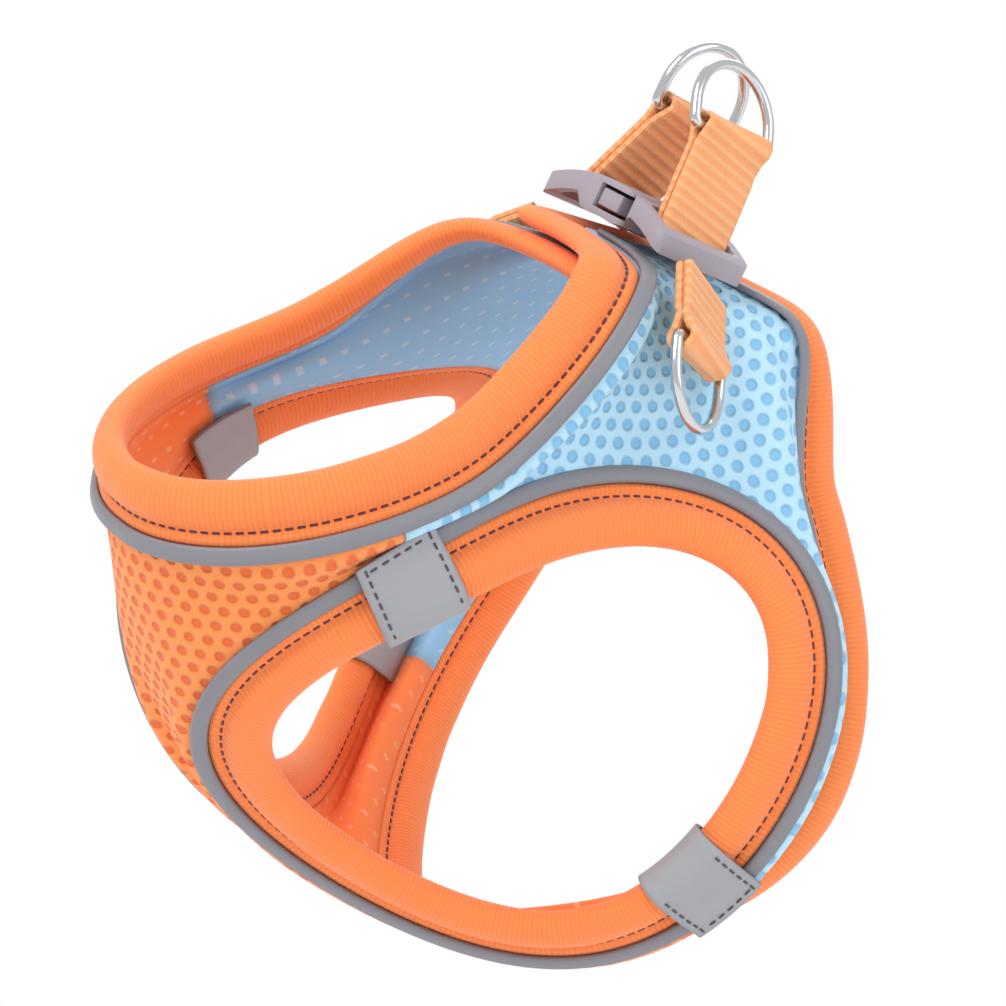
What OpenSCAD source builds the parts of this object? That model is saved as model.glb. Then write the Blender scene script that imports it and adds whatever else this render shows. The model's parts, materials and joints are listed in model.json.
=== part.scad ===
// Step-in pet harness: a mesh vest with one neck opening, two leg openings and
// an open trunk end. Its two halves close over the back with overlapping flaps.
// X runs along the spine towards the tail, Y to the pet's right and Z up.
// The left half lies at -Y. The origin is the middle of the trunk.

/* [Neck opening] */
// Height of the neck opening, throat to withers along its plane
neck_height = 85; // [72:1:98]
// Half width of the neck opening, before it is squared
neck_half_width = 28.2; // [24:0.2:32]
// Lean of the neck opening's plane from the spine
neck_lean = 50; // [42:1:58]
// How far the neck's sides sit towards the withers
neck_side_rise = 8.6; // [0:0.2:12]
// How far the neck's sides sit back from the opening's plane
neck_side_bow = 5.8; // [0:0.2:8]
// How much wider the neck opening is near the throat
neck_egg = 2.7; // [0:0.1:4]
// How square the neck opening's outline is
neck_square = 3.2; // [0:0.1:4]
// Centre of the neck opening along the spine
neck_x = -46.6; // [-52:0.2:-44]
// Centre of the neck opening above the trunk's middle
neck_z = 29; // [24:0.5:34]

/* [Trunk opening] */
// Height of the trunk's rear edge, belly to back
rear_height = 121; // [106:1:138]
// Half width of the trunk's rear edge, before it is squared
rear_half_width = 41; // [36:0.5:47]
// Lean of the trunk's rear edge from the spine
rear_lean = 95.7; // [90:0.5:100]
// How far the rear edge's sides hang towards the belly
rear_side_drop = 17.5; // [8:0.5:20]
// How far the rear edge's sides reach towards the tail
rear_side_reach = 29; // [20:0.5:33]
// How much more the flanks reach back above the middle than below it
rear_skew = 4; // [0:0.5:5]
// How full the rear edge's sides are
rear_full = 5.7; // [2:0.1:7]
// Centre of the rear edge along the spine
rear_x = 19.6; // [18:0.2:26]
// Centre of the rear edge above the trunk's middle
rear_z = 7.3; // [4:0.1:10]

/* [Chest line] */
// Depth of the chest's mid-line below the straight line from throat to belly
keel_drop = 16; // [12:0.5:19]

/* [Leg openings] */
// Half length of a leg opening
leg_half_length = 44.7; // [38:0.1:50]
// Half width of a leg opening
leg_half_width = 35.4; // [30:0.1:40]
// Rise of a leg opening's long axis towards the tail
leg_rise = 40.3; // [34:0.1:46]
// Outward turn of a leg opening's long axis
leg_turn = 28; // [22:0.5:33]
// Roll of a leg opening about its long axis
leg_roll = 14.6; // [10:0.2:19]
// How square a leg opening's ends are
leg_square = 2.3; // [0:0.1:4]
// How pear-shaped a leg opening is
leg_pear = 5.4; // [2:0.1:7]
// Twist of a leg opening's edge out of its plane
leg_twist = 6.9; // [2:0.1:9]
// Inward tuck of the fabric round a leg opening
leg_tuck = 0.5; // [0.4:0.05:0.6]
// How much more it tucks in above and below than in front and behind
leg_tuck_swing = 0.25; // [0.2:0.01:0.35]
// Distance of a leg opening's centre from the mid-plane
leg_y = 32.4; // [30:0.2:37]
// Place of a leg opening's centre along the spine
leg_x = -5.8; // [-9:0.2:-2]
// Place of a leg opening's centre below the trunk's middle
leg_z = -7; // [-10:0.5:-4]

/* [Mesh and edges] */
// Thickness of the air mesh
mesh_t = 2.2; // [1.6:0.1:3]
// Width of the padded edge roll
roll_w = 8; // [6.5:0.5:9]
// Thickness of the padded edge roll
roll_t = 5.6; // [4:0.1:6]
// Width of the flat stitched lip inside the roll
lip_w = 2.4; // [1.6:0.2:3]
// Width of the reflective piping
piping_w = 2.5; // [1.6:0.1:3]
// Thickness of the reflective piping
piping_t = 0.8; // [0.6:0.1:1.2]
// Gap between pieces that are sewn or laid together
sewn_gap = 0.2; // [0.1:0.05:0.3]

/* [Back closure] */
// How far each flap's edge roll sits past the mid-plane
flap_reach = 11; // [9:0.5:13]
// Thickness of each fastening tape
tape_t = 0.7; // [0.5:0.1:0.9]
// Clearance between the two fastening tapes
tape_gap = 0.5; // [0.3:0.1:0.8]
// Depth of the opening hinge line below the chest's mid-line
hinge_depth = 5; // [4:0.5:8]
// Share of its thickness that the edge roll keeps where the flaps overlap
flap_roll_keep = 0.68; // [0.5:0.01:0.7]

/* [Tabs] */
// Width of the reflective tabs
tab_w = 13.5; // [9:0.5:16]
// Thickness of the reflective tabs
tab_t = 0.8; // [0.6:0.1:1.2]

/* [Webbing and rings] */
// Width of the strap webbing
web_w = 15; // [12:0.5:16]
// Thickness of one ply of webbing
web_t = 1.4; // [1:0.1:1.6]
// Wire diameter of the rings
wire_d = 1.9; // [1.6:0.1:2.4]
// Depth of a ring from its bar to the top of its bow
ring_depth = 12.6; // [11:0.2:16]
// Radial clearance of a ring's bar in its webbing loop
bar_gap = 0.1; // [0.05:0.05:0.2]
// Side clearance between the webbing and a ring's legs
leg_gap = 0.4; // [0.3:0.1:0.8]
// Height of the leash rings' bars above the spine
ring_rise = 25.5; // [22:0.5:30]
// Distance of each leash ring's bar from the mid-plane
ring_y = 5.4; // [4.4:0.2:7]
// Place of the leash rings' bars along the straps' foot
ring_bar_x = -1.7; // [-3:0.1:0]
// Lean of the near leash ring towards the mid-plane
ring_tip = 30; // [0:1:32]
// Lean of the tag ring towards the mesh
tag_tip = 3; // [0:1:5]
// Lean of the straps' width from the spine
strap_lean = 5; // [2:1:8]
// Place of the straps' middle along the spine line, from its front end
strap_along = 20; // [18:0.2:21]
// Gap under the strap bases
base_gap = 0.35; // [0.3:0.05:0.5]

/* [Buckle] */
// Distance of each webbing slot from the mid-plane
slot_y = 11; // [10:0.2:12.5]
// Width of each webbing slot
slot_w = 6.2; // [5.6:0.1:6.6]
// Clearance beside the webbing in the slots
slot_gap = 0.8; // [0.6:0.1:1.2]
// Width of the rails round the slots
rail_w = 2.2; // [1.8:0.1:2.6]
// Thickness of the buckle at its ends
buckle_t = 3.4; // [3:0.1:4]
// Thickness of the socket's body
socket_t = 6.4; // [6:0.1:7]
// Wall of the socket
wall_t = 1.1; // [0.9:0.1:1.3]
// Radius of the buckle's crown
crown_r = 36; // [32:1:60]
// Place of the buckle's middle along the straps' foot
buckle_x = -5.7; // [-7:0.1:-5]
// Height of the buckle's middle above the spine
buckle_rise = 9.6; // [9.4:0.1:10.5]
// Length of the plug's prongs
prong_length = 11; // [9:0.5:12]
// Clearance over and under the prongs in the socket
prong_gap = 0.6; // [0.5:0.1:0.8]
// Width of the plug's middle prong
guide_w = 3.6; // [3:0.2:4.4]
// Place where the socket's side notches end, from the mid-plane
notch_end = 2.4; // [1.5:0.1:3]
// Length of each side arm before its pad
pad_gap = 1.6; // [1:0.1:2.5]

/* [Hidden] */

orange = "#FF8345";
blue = "#A9D8F5";
grey = "#8E8E96";
plastic = "#A69FAA";
steel = "#C9CCD2";

// ---- Vector helpers ----
function unit(v) = v / norm(v);
function lerp(a, b, k) = a + (b - a) * k;
function smooth(k) = let (c = max(0, min(1, k))) c * c * (3 - 2 * c);
function mirror_y(p, side) = [p[0], p[1] * side, p[2]];

// ---- Edge curves: the middle of each padded roll, left side ----
// A ring runs along its long axis u, across it v, and bows along its normal n
neck_u = [cos(neck_lean), 0, sin(neck_lean)];
neck_n = [-sin(neck_lean), 0, cos(neck_lean)];
rear_u = [cos(rear_lean), 0, sin(rear_lean)];
rear_n = [-sin(rear_lean), 0, cos(rear_lean)];
across = [0, -1, 0];

function neck_point(a) =
    [neck_x, 0, neck_z]
    + neck_u * (neck_height / 2 * cos(a) - neck_square * (cos(a) - cos(3 * a)) + neck_side_rise * pow(sin(a), 2))
    + across * (neck_half_width * sin(a) - neck_egg * sin(2 * a) + neck_square * sin(3 * a))
    - neck_n * neck_side_bow * pow(sin(a), 2);

function rear_point(a) =
    [rear_x, 0, rear_z]
    + rear_u * (rear_height / 2 * cos(a) - rear_side_drop * pow(sin(a), 2))
    + across * (rear_half_width * sin(a) + rear_skew * sin(2 * a) - rear_full * sin(3 * a))
    - rear_n * (rear_side_reach * pow(sin(a), 2) + rear_skew * (cos(a) - cos(3 * a)));

leg_c = [leg_x, -leg_y, leg_z];
leg_u = [cos(leg_rise) * cos(leg_turn), -cos(leg_rise) * sin(leg_turn), sin(leg_rise)];
leg_flat = [sin(leg_turn), cos(leg_turn), 0];
leg_v = cos(leg_roll) * unit(cross(leg_flat, -leg_u)) - sin(leg_roll) * leg_flat;
leg_n = cross(leg_u, leg_v);
leg_tuck_at = 50;

function leg_point(a) =
    leg_c
    + leg_u * (leg_half_length * cos(a) - leg_square * (cos(a) - cos(3 * a)) - leg_square * sin(2 * a))
    + leg_v * (leg_half_width * sin(a) + leg_pear * cos(2 * a))
    - leg_n * (leg_twist * sin(2 * a) + leg_square * cos(2 * a));

// ---- Mid-line, and the hinge line that the right half opens about ----
withers = neck_point(0);
throat = neck_point(180);
back_end = rear_point(0);
belly = rear_point(180);
keel = unit(belly - throat);
keel_up = [-keel[2], 0, keel[0]];
spine = unit(back_end - withers);
spine_up = [-spine[2], 0, spine[0]];
hinge_point = throat - keel_up * (keel_drop + hinge_depth);
keel_length = norm(belly - throat);
throat_run = unit(keel * keel_length - keel_up * 4 * keel_drop);
belly_run = unit(-keel * keel_length - keel_up * 4 * keel_drop);
function chest_line(j) = lerp(belly, throat, j) - keel_up * 4 * keel_drop * j * (1 - j);
function chest_normal(j) =
    let (run = unit(throat - belly - keel_up * 4 * keel_drop * (1 - 2 * j))) [-run[2], 0, run[0]];

// Height above the hinge line
function above_hinge(p) = (p - hinge_point) * keel_up;
flap_slope = spine_up * keel_up;

// The flaps lie on a cone round the hinge line, so they slide over each other as the back opens
flap_edge = flap_reach + roll_w / 2;
flap_blend = flap_edge + 12;
flap_half = mesh_t / 2 + tape_t + tape_gap / 2 + sewn_gap;
function spine_place(p) = let (d = p - withers) [d * spine, p[1], d * spine_up];
function flap_share(p) = above_hinge(p) < above_hinge(withers) / 2 ? 0
    : 1 - smooth((abs(p[1]) - flap_edge) / (flap_blend - flap_edge));
// Height of the cone over the spine line; side is 1 for the upper flap and -1 for the lower one
function cone_height(x, y, out) = out - flap_slope * y * y / (2 * above_hinge(withers + spine * x));
function to_flap(p, side) =
    let (q = spine_place(p))
    p + spine_up * flap_share(p) * (cone_height(q[0], q[1], side * flap_half) - q[2]);
// Outward normal of the cone
function flap_normal(p) =
    let (radial = unit(keel_up * above_hinge(p) + [0, p[1], 0]))
    radial * flap_slope + keel * (spine_up * keel);

// ---- Stations round the vest: neck, flap edge, rear edge and chest line ----
neck_turn = asin(flap_reach / (neck_half_width - 2 * neck_egg + 3 * neck_square));
rear_turn = asin(flap_reach / (rear_half_width + 2 * rear_skew - 3 * rear_full));
shoulder_share = 0.285;
belly_share = 0.62;
leg_at_throat = 160;
leg_at_withers = 50;
leg_at_back = 34;
leg_at_belly = -120;
neck_ease = 0.65;
rear_ease = 1.2;
ease = 0.8;
side_neck = unit([-0.30, -0.90, 0.30]);
side_rear = unit([0.05, -1, 0]);

// k runs 0-1 over the neck, 1-2 over the flap edge, 2-3 over the rear edge, 3-4 over the chest line
function neck_angle(k) = lerp(180, -neck_turn, k);
function rear_angle(k) = lerp(-rear_turn, 180, k);
// The leg opening's top faces the flap, so its stations crowd there
function eased(k, power) = ease * smooth(pow(k, power)) + (1 - ease) * k;
function leg_angle(k) =
    k < 1 ? lerp(leg_at_throat, leg_at_withers, eased(max(0, k), neck_ease))
    : k < 2 ? lerp(leg_at_withers, leg_at_back, k - 1)
    : k < 3 ? lerp(leg_at_back, leg_at_belly, eased(k - 2, rear_ease))
    : lerp(leg_at_belly, leg_at_throat - 360, k - 3);
// Past the mid-line each edge runs straight across, out to the flap's corner
function past_middle(p, a, turn) = p - across * flap_reach * (-a / turn);
function edge_point(k) =
    k < 1 ? let (a = neck_angle(k)) (a < 0 ? past_middle(withers, a, neck_turn) : neck_point(a))
    : k < 2 ? lerp(withers, back_end, k - 1) - across * flap_reach
    : let (a = rear_angle(k - 2)) (a < 0 ? past_middle(back_end, a, rear_turn) : rear_point(a));
throat_normal = [throat_run[2], 0, -throat_run[0]];
belly_normal = [-belly_run[2], 0, belly_run[0]];
function facing(a, side, low) =
    unit(low * max(0, -cos(a)) + spine_up * max(0, cos(a)) + side * max(0, sin(a)));
function edge_normal(k) =
    k < 1 ? facing(neck_angle(k), side_neck, throat_normal)
    : k < 2 ? spine_up
    : facing(rear_angle(k - 2), side_rear, belly_normal);
function warped_normal(k, side) =
    unit(lerp(edge_normal(k), flap_normal(to_flap(edge_point(k), side)), flap_share(edge_point(k))));
// A place on an edge is [point, normal, direction into the fabric]
step = 0.004;
// The flap's corners, where the neck and rear edges meet its free edge at a right angle
function corner_frame(at, along, side) =
    let (
        p = to_flap(at - across * flap_reach, side),
        n = flap_normal(p),
        down = across - n * (across * n))
    [p, n, unit(along - n * (along * n)) + unit(down)];
function edge_frame(k, side) =
    k == 1 ? corner_frame(withers, spine, side)
    : k == 2 ? corner_frame(back_end, -spine, side)
    : let (
        p = to_flap(edge_point(k), side),
        run = k < step ? across : k > 3 - step ? -across
            : unit(to_flap(edge_point(k + step), side) - to_flap(edge_point(k - step), side)),
        n0 = warped_normal(k, side),
        n = unit(n0 - run * (n0 * run)))
    [p, n, cross(run, n)];
function leg_frame(k) =
    let (
        a = leg_angle(k),
        p = leg_point(a),
        run = unit(leg_point(a - 1) - leg_point(a + 1)),
        out = unit(p - leg_c) + [0, leg_tuck + leg_tuck_swing * cos(2 * (a - leg_tuck_at)), 0],
        n = unit(cross(run, out)))
    [p, n, cross(n, run)];

// ---- Stations shared by the panels, bindings and pipings, so that their facets lie together ----
function span(a, b, n) = [for (i = [0:n]) lerp(a, b, i / n)];
function after(list) = [for (i = [1:len(list) - 1]) list[i]];
neck_last = 0.91;
rear_first = 2.105;
flap_stations = [1, 1.3, 1.5, 1.7, 2];
shoulder_at = shoulder_share;
belly_at = 2 + belly_share;
throat_stations = span(0, shoulder_at, 7);
neck_stations = span(shoulder_at, neck_last, 13);
rear_stations = span(rear_first, belly_at, 13);
belly_stations = span(belly_at, 3, 10);
chest_stations = span(3.09, 3.91, 9);

// ---- Mesh surface between the inner ends of the two lips ----
inset = roll_w / 2 + lip_w + sewn_gap;
mid_gap = 0.15;
function moved_in(f) = [f[0] + f[2] * inset, f[1], f[2]];
function mix(a, b, k) = [lerp(a[0], b[0], k), unit(lerp(a[1], b[1], k)), lerp(a[2], b[2], k)];
function outer_end(k, side) =
    k > 3 ? let (j = lerp(inset, keel_length - inset, k - 3) / keel_length)
        [chest_line(j), chest_normal(j), across]
    : k <= neck_last || k >= rear_first ? moved_in(edge_frame(k, side))
    : k < 1 ? mix(moved_in(edge_frame(neck_last, side)), moved_in(edge_frame(1, side)), (k - neck_last) / (1 - neck_last))
    : k <= 2 ? mix(moved_in(edge_frame(1, side)), moved_in(edge_frame(2, side)), k - 1)
    : mix(moved_in(edge_frame(2, side)), moved_in(edge_frame(rear_first, side)), (k - 2) / (rear_first - 2));
function inner_end(k) = moved_in(leg_frame(k));

// The fabric runs straight for a way beside each lip, under the piping and the tabs
flat_by_leg = piping_w + mesh_t / 2 + sewn_gap;
flat_by_edge = flat_by_leg;
most_by_leg = 0.42;
most_by_edge = 0.33;
leg_side = 0.2;
edge_side = 0.85;
fullness = 0.1;
flap_hold = 0.8;
function bend(a, b, c, d, k) =
    a * pow(1 - k, 3) + b * 3 * k * pow(1 - k, 2) + c * 3 * k * k * (1 - k) + d * pow(k, 3);
function mesh_raw(k, s, side) =
    let (
        o = outer_end(k, side), l = inner_end(k),
        far = norm(o[0] - l[0]),
        low = l[0] + l[2] * min(flat_by_leg, far * most_by_leg),
        high = o[0] + o[2] * min(flat_by_edge, far * most_by_edge),
        reach = norm(high - low) * fullness)
    s <= leg_side ? lerp(l[0], low, s / leg_side)
    : s >= edge_side ? lerp(high, o[0], (s - edge_side) / (1 - edge_side))
    : bend(low, low + l[2] * reach, high + o[2] * reach, high, (s - leg_side) / (edge_side - leg_side));
function in_chest(k) = k > belly_at || k < shoulder_at;
function mesh_at(k, s, side) =
    let (
        p = mesh_raw(k, s, side),
        loose = k > neck_last && k < rear_first ? 1 : 1 - smooth((s - flap_hold) / (edge_side - flap_hold)),
        q = lerp(p, to_flap(p, side), loose))
    [q[0], in_chest(k) ? min(q[1], -mid_gap) : q[1], q[2]];

// ---- Solids from grids ----
// A closed skin over grid g[i][j] of [inner, outer] points; closed along i if ring is true
module slab(g, ring = false, side = 1) {
    ni = len(g);
    nj = len(g[0]);
    pts = [for (layer = [0, 1]) for (i = [0:ni - 1]) for (j = [0:nj - 1]) mirror_y(g[i][j][layer], side)];
    function at(layer, i, j) = layer * ni * nj + (i % ni) * nj + j;
    last = ring ? ni - 1 : ni - 2;
    quads = concat(
        [for (i = [0:last]) for (j = [0:nj - 2]) [at(0, i, j), at(0, i + 1, j), at(0, i + 1, j + 1), at(0, i, j + 1)]],
        [for (i = [0:last]) for (j = [0:nj - 2]) [at(1, i, j), at(1, i, j + 1), at(1, i + 1, j + 1), at(1, i + 1, j)]],
        [for (i = [0:last]) [at(0, i, 0), at(1, i, 0), at(1, i + 1, 0), at(0, i + 1, 0)]],
        [for (i = [0:last]) [at(0, i, nj - 1), at(0, i + 1, nj - 1), at(1, i + 1, nj - 1), at(1, i, nj - 1)]],
        ring ? [] : [for (j = [0:nj - 2]) [at(0, 0, j), at(0, 0, j + 1), at(1, 0, j + 1), at(1, 0, j)]],
        ring ? [] : [for (j = [0:nj - 2]) [at(0, ni - 1, j), at(1, ni - 1, j), at(1, ni - 1, j + 1), at(0, ni - 1, j + 1)]]);
    tris = [for (q = quads) each [[q[0], q[1], q[2]], [q[0], q[2], q[3]]]];
    polyhedron(pts, [for (t = tris) side > 0 ? t : [t[2], t[1], t[0]]]);
}

// A section of [into the fabric, outwards] points carried along frames
module sweep(frames, section, ring = false, side = 1, squash = [1]) {
    nf = len(frames);
    ns = len(section);
    function place(f, q, k) = mirror_y(f[0] + f[2] * q[0] + f[1] * q[1] * k, side);
    pts = [for (i = [0:nf - 1]) for (q = section) place(frames[i], q, len(squash) > 1 ? squash[i] : 1)];
    function at(i, j) = (i % nf) * ns + (j % ns);
    last = ring ? nf - 1 : nf - 2;
    walls = [for (i = [0:last]) for (j = [0:ns - 1])
        each [[at(i, j), at(i, j + 1), at(i + 1, j + 1)], [at(i, j), at(i + 1, j + 1), at(i + 1, j)]]];
    caps = ring ? [] : [[for (j = [ns - 1:-1:0]) at(0, j)], [for (j = [0:ns - 1]) at(nf - 1, j)]];
    faces = concat(walls, caps);
    polyhedron(pts, [for (t = faces) side > 0 ? t : [for (j = [len(t) - 1:-1:0]) t[j]]]);
}

// ---- Panels ----
seam = 0.002;
function mesh_normal(k, s, side) =
    s >= edge_side ? outer_end(k, side)[1]
    : s <= leg_side ? inner_end(k)[1]
    : let (
        k1 = k > 3.99 ? k - step : k + step,
        s1 = s + step,
        p = mesh_at(k, s, side),
        dk = (mesh_at(k1, s, side) - p) * (k1 > k ? 1 : -1),
        ds = mesh_at(k, s1, side) - p)
    unit(cross(dk, ds));
function layers(k, s, side, low, high) =
    let (p = mesh_at(k, s, side), n = mesh_normal(k, s, side)) [p + n * low, p + n * high];
// The ends of a list of stations, drawn in from the seams between the panels
function off_seams(list) = [for (k = list) max(list[0] + seam, min(list[len(list) - 1] - seam, k))];
chest_ks = concat(off_seams(concat(belly_stations, chest_stations, [3.998])), after(off_seams(concat([-1], throat_stations))));
body_ks = off_seams(concat(neck_stations, flap_stations, rear_stations));

module panel(ks, columns, side) {
    ss = concat([0], span(leg_side, edge_side, columns), [1]);
    slab([for (k = ks) [for (s = ss) layers(k, s, side, -mesh_t / 2, mesh_t / 2)]], side = side);
}
module chest_panel(side) {
    color(orange) panel(chest_ks, 6, side);
}
module body_panel(side) {
    color(blue) panel(body_ks, 8, side);
}

// ---- Edge bindings: padded roll with a flat stitched lip ----
half_roll = roll_w / 2;
function roll_edge(a) = [half_roll * cos(a), roll_t / 2 * sin(a)];
lip_end = half_roll + lip_w;
lip_half = mesh_t / 2;
binding_section = concat(
    [for (a = [30:50:330]) roll_edge(a)],
    [[half_roll, -lip_half], [lip_end, -lip_half], [lip_end, lip_half], [half_roll, lip_half]]);
neck_ks = concat(throat_stations, after(neck_stations));
rear_ks = concat(rear_stations, after(belly_stations));
outer_ks = concat(neck_ks, flap_stations, rear_ks);
leg_ks = concat(outer_ks, chest_stations);
function off_middle(f) = [[f[0][0], min(f[0][1], abs(f[2][1]) < 0.01 ? -mid_gap : f[0][1]), f[0][2]], f[1], f[2]];
function outer_frames(ks, side) =
    [for (k = ks) k < step || k > 3 - step ? off_middle(edge_frame(k, side)) : edge_frame(k, side)];
function flap_squash(ks) = [for (k = ks) lerp(1, flap_roll_keep, flap_share(edge_point(k)))];

module outer_binding(side) {
    color(orange) sweep(outer_frames(outer_ks, side), binding_section,
        side = side, squash = flap_squash(outer_ks));
}
module leg_binding(side) {
    color(orange) sweep([for (k = leg_ks) leg_frame(k)], binding_section, ring = true, side = side);
}

// ---- Reflective piping beside each lip ----
piping_low = mesh_t / 2 + sewn_gap;
piping_section = [
    [inset, piping_low], [inset + piping_w, piping_low],
    [inset + piping_w, piping_low + piping_t], [inset, piping_low + piping_t]];
module outer_piping(side) {
    color(grey) {
        sweep(outer_frames(neck_ks, side), piping_section, side = side);
        sweep(outer_frames(rear_ks, side), piping_section, side = side);
    }
}
module leg_piping(side) {
    color(grey) sweep([for (k = leg_ks) leg_frame(k)], piping_section, ring = true, side = side);
}

// ---- Reflective tabs: folded round the leg binding, over the seam between the panels ----
tab_stand = roll_t / 2 + sewn_gap;
fold_gap = 0.5;
function tab_path(reach) = concat(
    [[reach, tab_stand], [reach / 2, tab_stand]],
    [for (a = [90:30:270]) [half_roll * cos(a) - fold_gap, tab_stand * sin(a)]],
    [[reach / 2, -tab_stand], [reach, -tab_stand]]);
function tab_outer(q) = q[0] > 0 ? [q[0], q[1] + sign(q[1]) * tab_t] : q + unit(q) * tab_t;
// A place q = [into the fabric, outwards] on the tab, at a distance along the binding
function tab_place(k, along, q) =
    let (
        a = leg_frame(k - step), b = leg_frame(k + step),
        rate = norm(b[0] + b[2] * q[0] - a[0] - a[2] * q[0]) / (2 * step),
        f = leg_frame(k + along / rate))
    f[0] + f[2] * q[0] + f[1] * q[1];
module tab(k, reach, side) {
    color(grey) slab([for (w = span(tab_w / 2, -tab_w / 2, 6)) [for (q = tab_path(reach))
        [tab_place(k, -w, q), tab_place(k, -w, tab_outer(q))]]], side = side);
}
shoulder_reach = 10.3;
belly_reach = 10;
module shoulder_tab(side) {
    tab(shoulder_at, shoulder_reach, side);
}
module belly_tab(side) {
    tab(belly_at, belly_reach, side);
}

// ---- Fastening tapes between the flaps ----
tape_reach = flap_reach - inset - sewn_gap;
spine_length = norm(back_end - withers);
tape_margin = inset + piping_w + 2 * sewn_gap;
tape_ends = [tape_margin, spine_length - tape_margin];
function on_cone(x, y, out) = withers + spine * x + [0, y, 0] + spine_up * cone_height(x, y, out);
module tape(low) {
    slab([for (q = span(tape_ends[0], tape_ends[1], 3))
        [for (y = span(-tape_reach, tape_reach, 4)) [on_cone(q, y, low), on_cone(q, y, low + tape_t)]]]);
}
module loop_tape() {
    color("#E9EEF2") tape(tape_gap / 2);
}
module hook_tape() {
    color("#C7D3DC") tape(-tape_gap / 2 - tape_t);
}

// ---- Straps: places are [along, across, up] from the straps' foot on the spine ----
strap_foot = withers + spine * strap_along;
strap_u = spine * cos(strap_lean) - spine_up * sin(strap_lean);
strap_w = spine * sin(strap_lean) + spine_up * cos(strap_lean);
function from_straps(q) = strap_foot + strap_u * q[0] + [0, q[1], 0] + strap_w * q[2];
module at_straps() {
    multmatrix([
        [strap_u[0], 0, strap_w[0], strap_foot[0]],
        [0, 1, 0, 0],
        [strap_u[2], 0, strap_w[2], strap_foot[2]],
        [0, 0, 0, 1]]) children();
}
bar_r = wire_d / 2;
eye_r = bar_r + bar_gap;
fold_r = eye_r + web_t;
double_web = 2 * web_t + 0.1;
ring_bar = [ring_bar_x, -ring_y, ring_rise];
slot_mid = [buckle_x, -slot_y, buckle_rise - buckle_t / 2];
strap_head = ring_bar + unit(slot_mid - ring_bar) * (eye_r + web_t / 3);
past_slot = 1.2;
strap_end = slot_mid + unit(slot_mid - ring_bar) * (buckle_t / 2 + past_slot);

// A webbing loop for a bar along the first axis
module eye() {
    rotate([0, 90, 0]) difference() {
        cylinder(h = web_w, r = fold_r, center = true, $fn = 48);
        cylinder(h = web_w + 1, r = eye_r, center = true, $fn = 48);
    }
}
// Doubled webbing from inside the eye's wall through the buckle's slot
module strap(side) {
    run = strap_end - strap_head;
    flat = unit([0, -run[2], run[1]]) * double_web / 2;
    color(orange) {
        at_straps() mirror([0, side > 0 ? 0 : 1, 0]) translate(ring_bar) eye();
        slab([for (p = [strap_head, strap_end])
            [for (w = [web_w / 2, -web_w / 2])
                [from_straps(p + [w, 0, 0] - flat), from_straps(p + [w, 0, 0] + flat)]]], side = side);
    }
}

// ---- Strap bases, sewn to the body panels ----
// Front and rear corners of a strap base, as [station, share from the leg opening], at its top and at its fold
base_corners = [[[0.78, 0.93], [1.92, 0.49]], [[0.7, 0.72], [1.66, 0.4]]];
base_low = mesh_t / 2 + sewn_gap + piping_t + base_gap;
function base_line(h, side) =
    let (
        a = mesh_at(base_corners[h][0][0], base_corners[h][0][1], side),
        b = mesh_at(base_corners[h][1][0], base_corners[h][1][1], side))
    [(a + b) / 2, unit(b - a)];
function base_place(h, w, side) =
    let (
        top = base_line(0, side), fold = base_line(1, side),
        u = unit(lerp(top[1], fold[1], h)))
    [lerp(top[0], fold[0], h) + u * w * web_w / 2, unit(cross(fold[0] - top[0], u))];
// Frame at the fold that holds the tag ring: [point, along the bar, outwards, down the flank]
function fold_frame(side) =
    let (
        a = base_place(1, -1, side), b = base_place(1, 1, side), c = base_place(1, 0, side),
        u = unit(b[0] - a[0]),
        n = unit(c[1] - u * (c[1] * u)),
        d = cross(u, n))
    [c[0] + n * (base_low + fold_r) + d * fold_drop, u, n, d];
fold_drop = 2.4;
fold_left = fold_frame(1);
module in_frame(f, side) {
    mirror([0, side > 0 ? 0 : 1, 0]) multmatrix([
        [f[1][0], f[2][0], f[3][0], f[0][0]],
        [f[1][1], f[2][1], f[3][1], f[0][1]],
        [f[1][2], f[2][2], f[3][2], f[0][2]],
        [0, 0, 0, 1]]) children();
}
module strap_base(side) {
    color(orange) {
        in_frame(fold_frame(side), side) eye();
        slab([for (h = span(0, 1, 5)) [for (w = [-1, -0.33, 0.33, 1])
            let (q = base_place(h, w, side))
            [q[0] + q[1] * base_low, q[0] + q[1] * (base_low + double_web)]]], side = side);
    }
}

// ---- Wire rings: straight bar along the first axis, bow towards the third ----
module wire_ring() {
    half = web_w / 2 + leg_gap + bar_r;
    bend = bar_r + leg_gap / 2;
    $fn = 32;
    color(steel) {
        rotate([0, 90, 0]) cylinder(h = 2 * (half - bend), r = bar_r, center = true);
        for (x = [-1, 1]) {
            translate([x * (half - bend), 0, bend]) rotate([90, 0, x > 0 ? 0 : 180]) rotate([0, 0, -90])
                rotate_extrude(angle = 90) translate([bend, 0]) circle(r = bar_r);
            translate([x * half, 0, bend]) cylinder(h = ring_depth - half - bend, r = bar_r);
        }
        translate([0, 0, ring_depth - half]) rotate([90, 0, 0])
            rotate_extrude(angle = 180) translate([half, 0]) circle(r = bar_r);
    }
}
module leash_ring(side) {
    at_straps() mirror([0, side > 0 ? 0 : 1, 0]) translate(ring_bar)
        rotate([side > 0 ? -ring_tip : 0, 0, 0]) wire_ring();
}
module tag_ring() {
    in_frame(fold_left, 1) rotate([tag_tip, 0, 0]) wire_ring();
}

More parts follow.
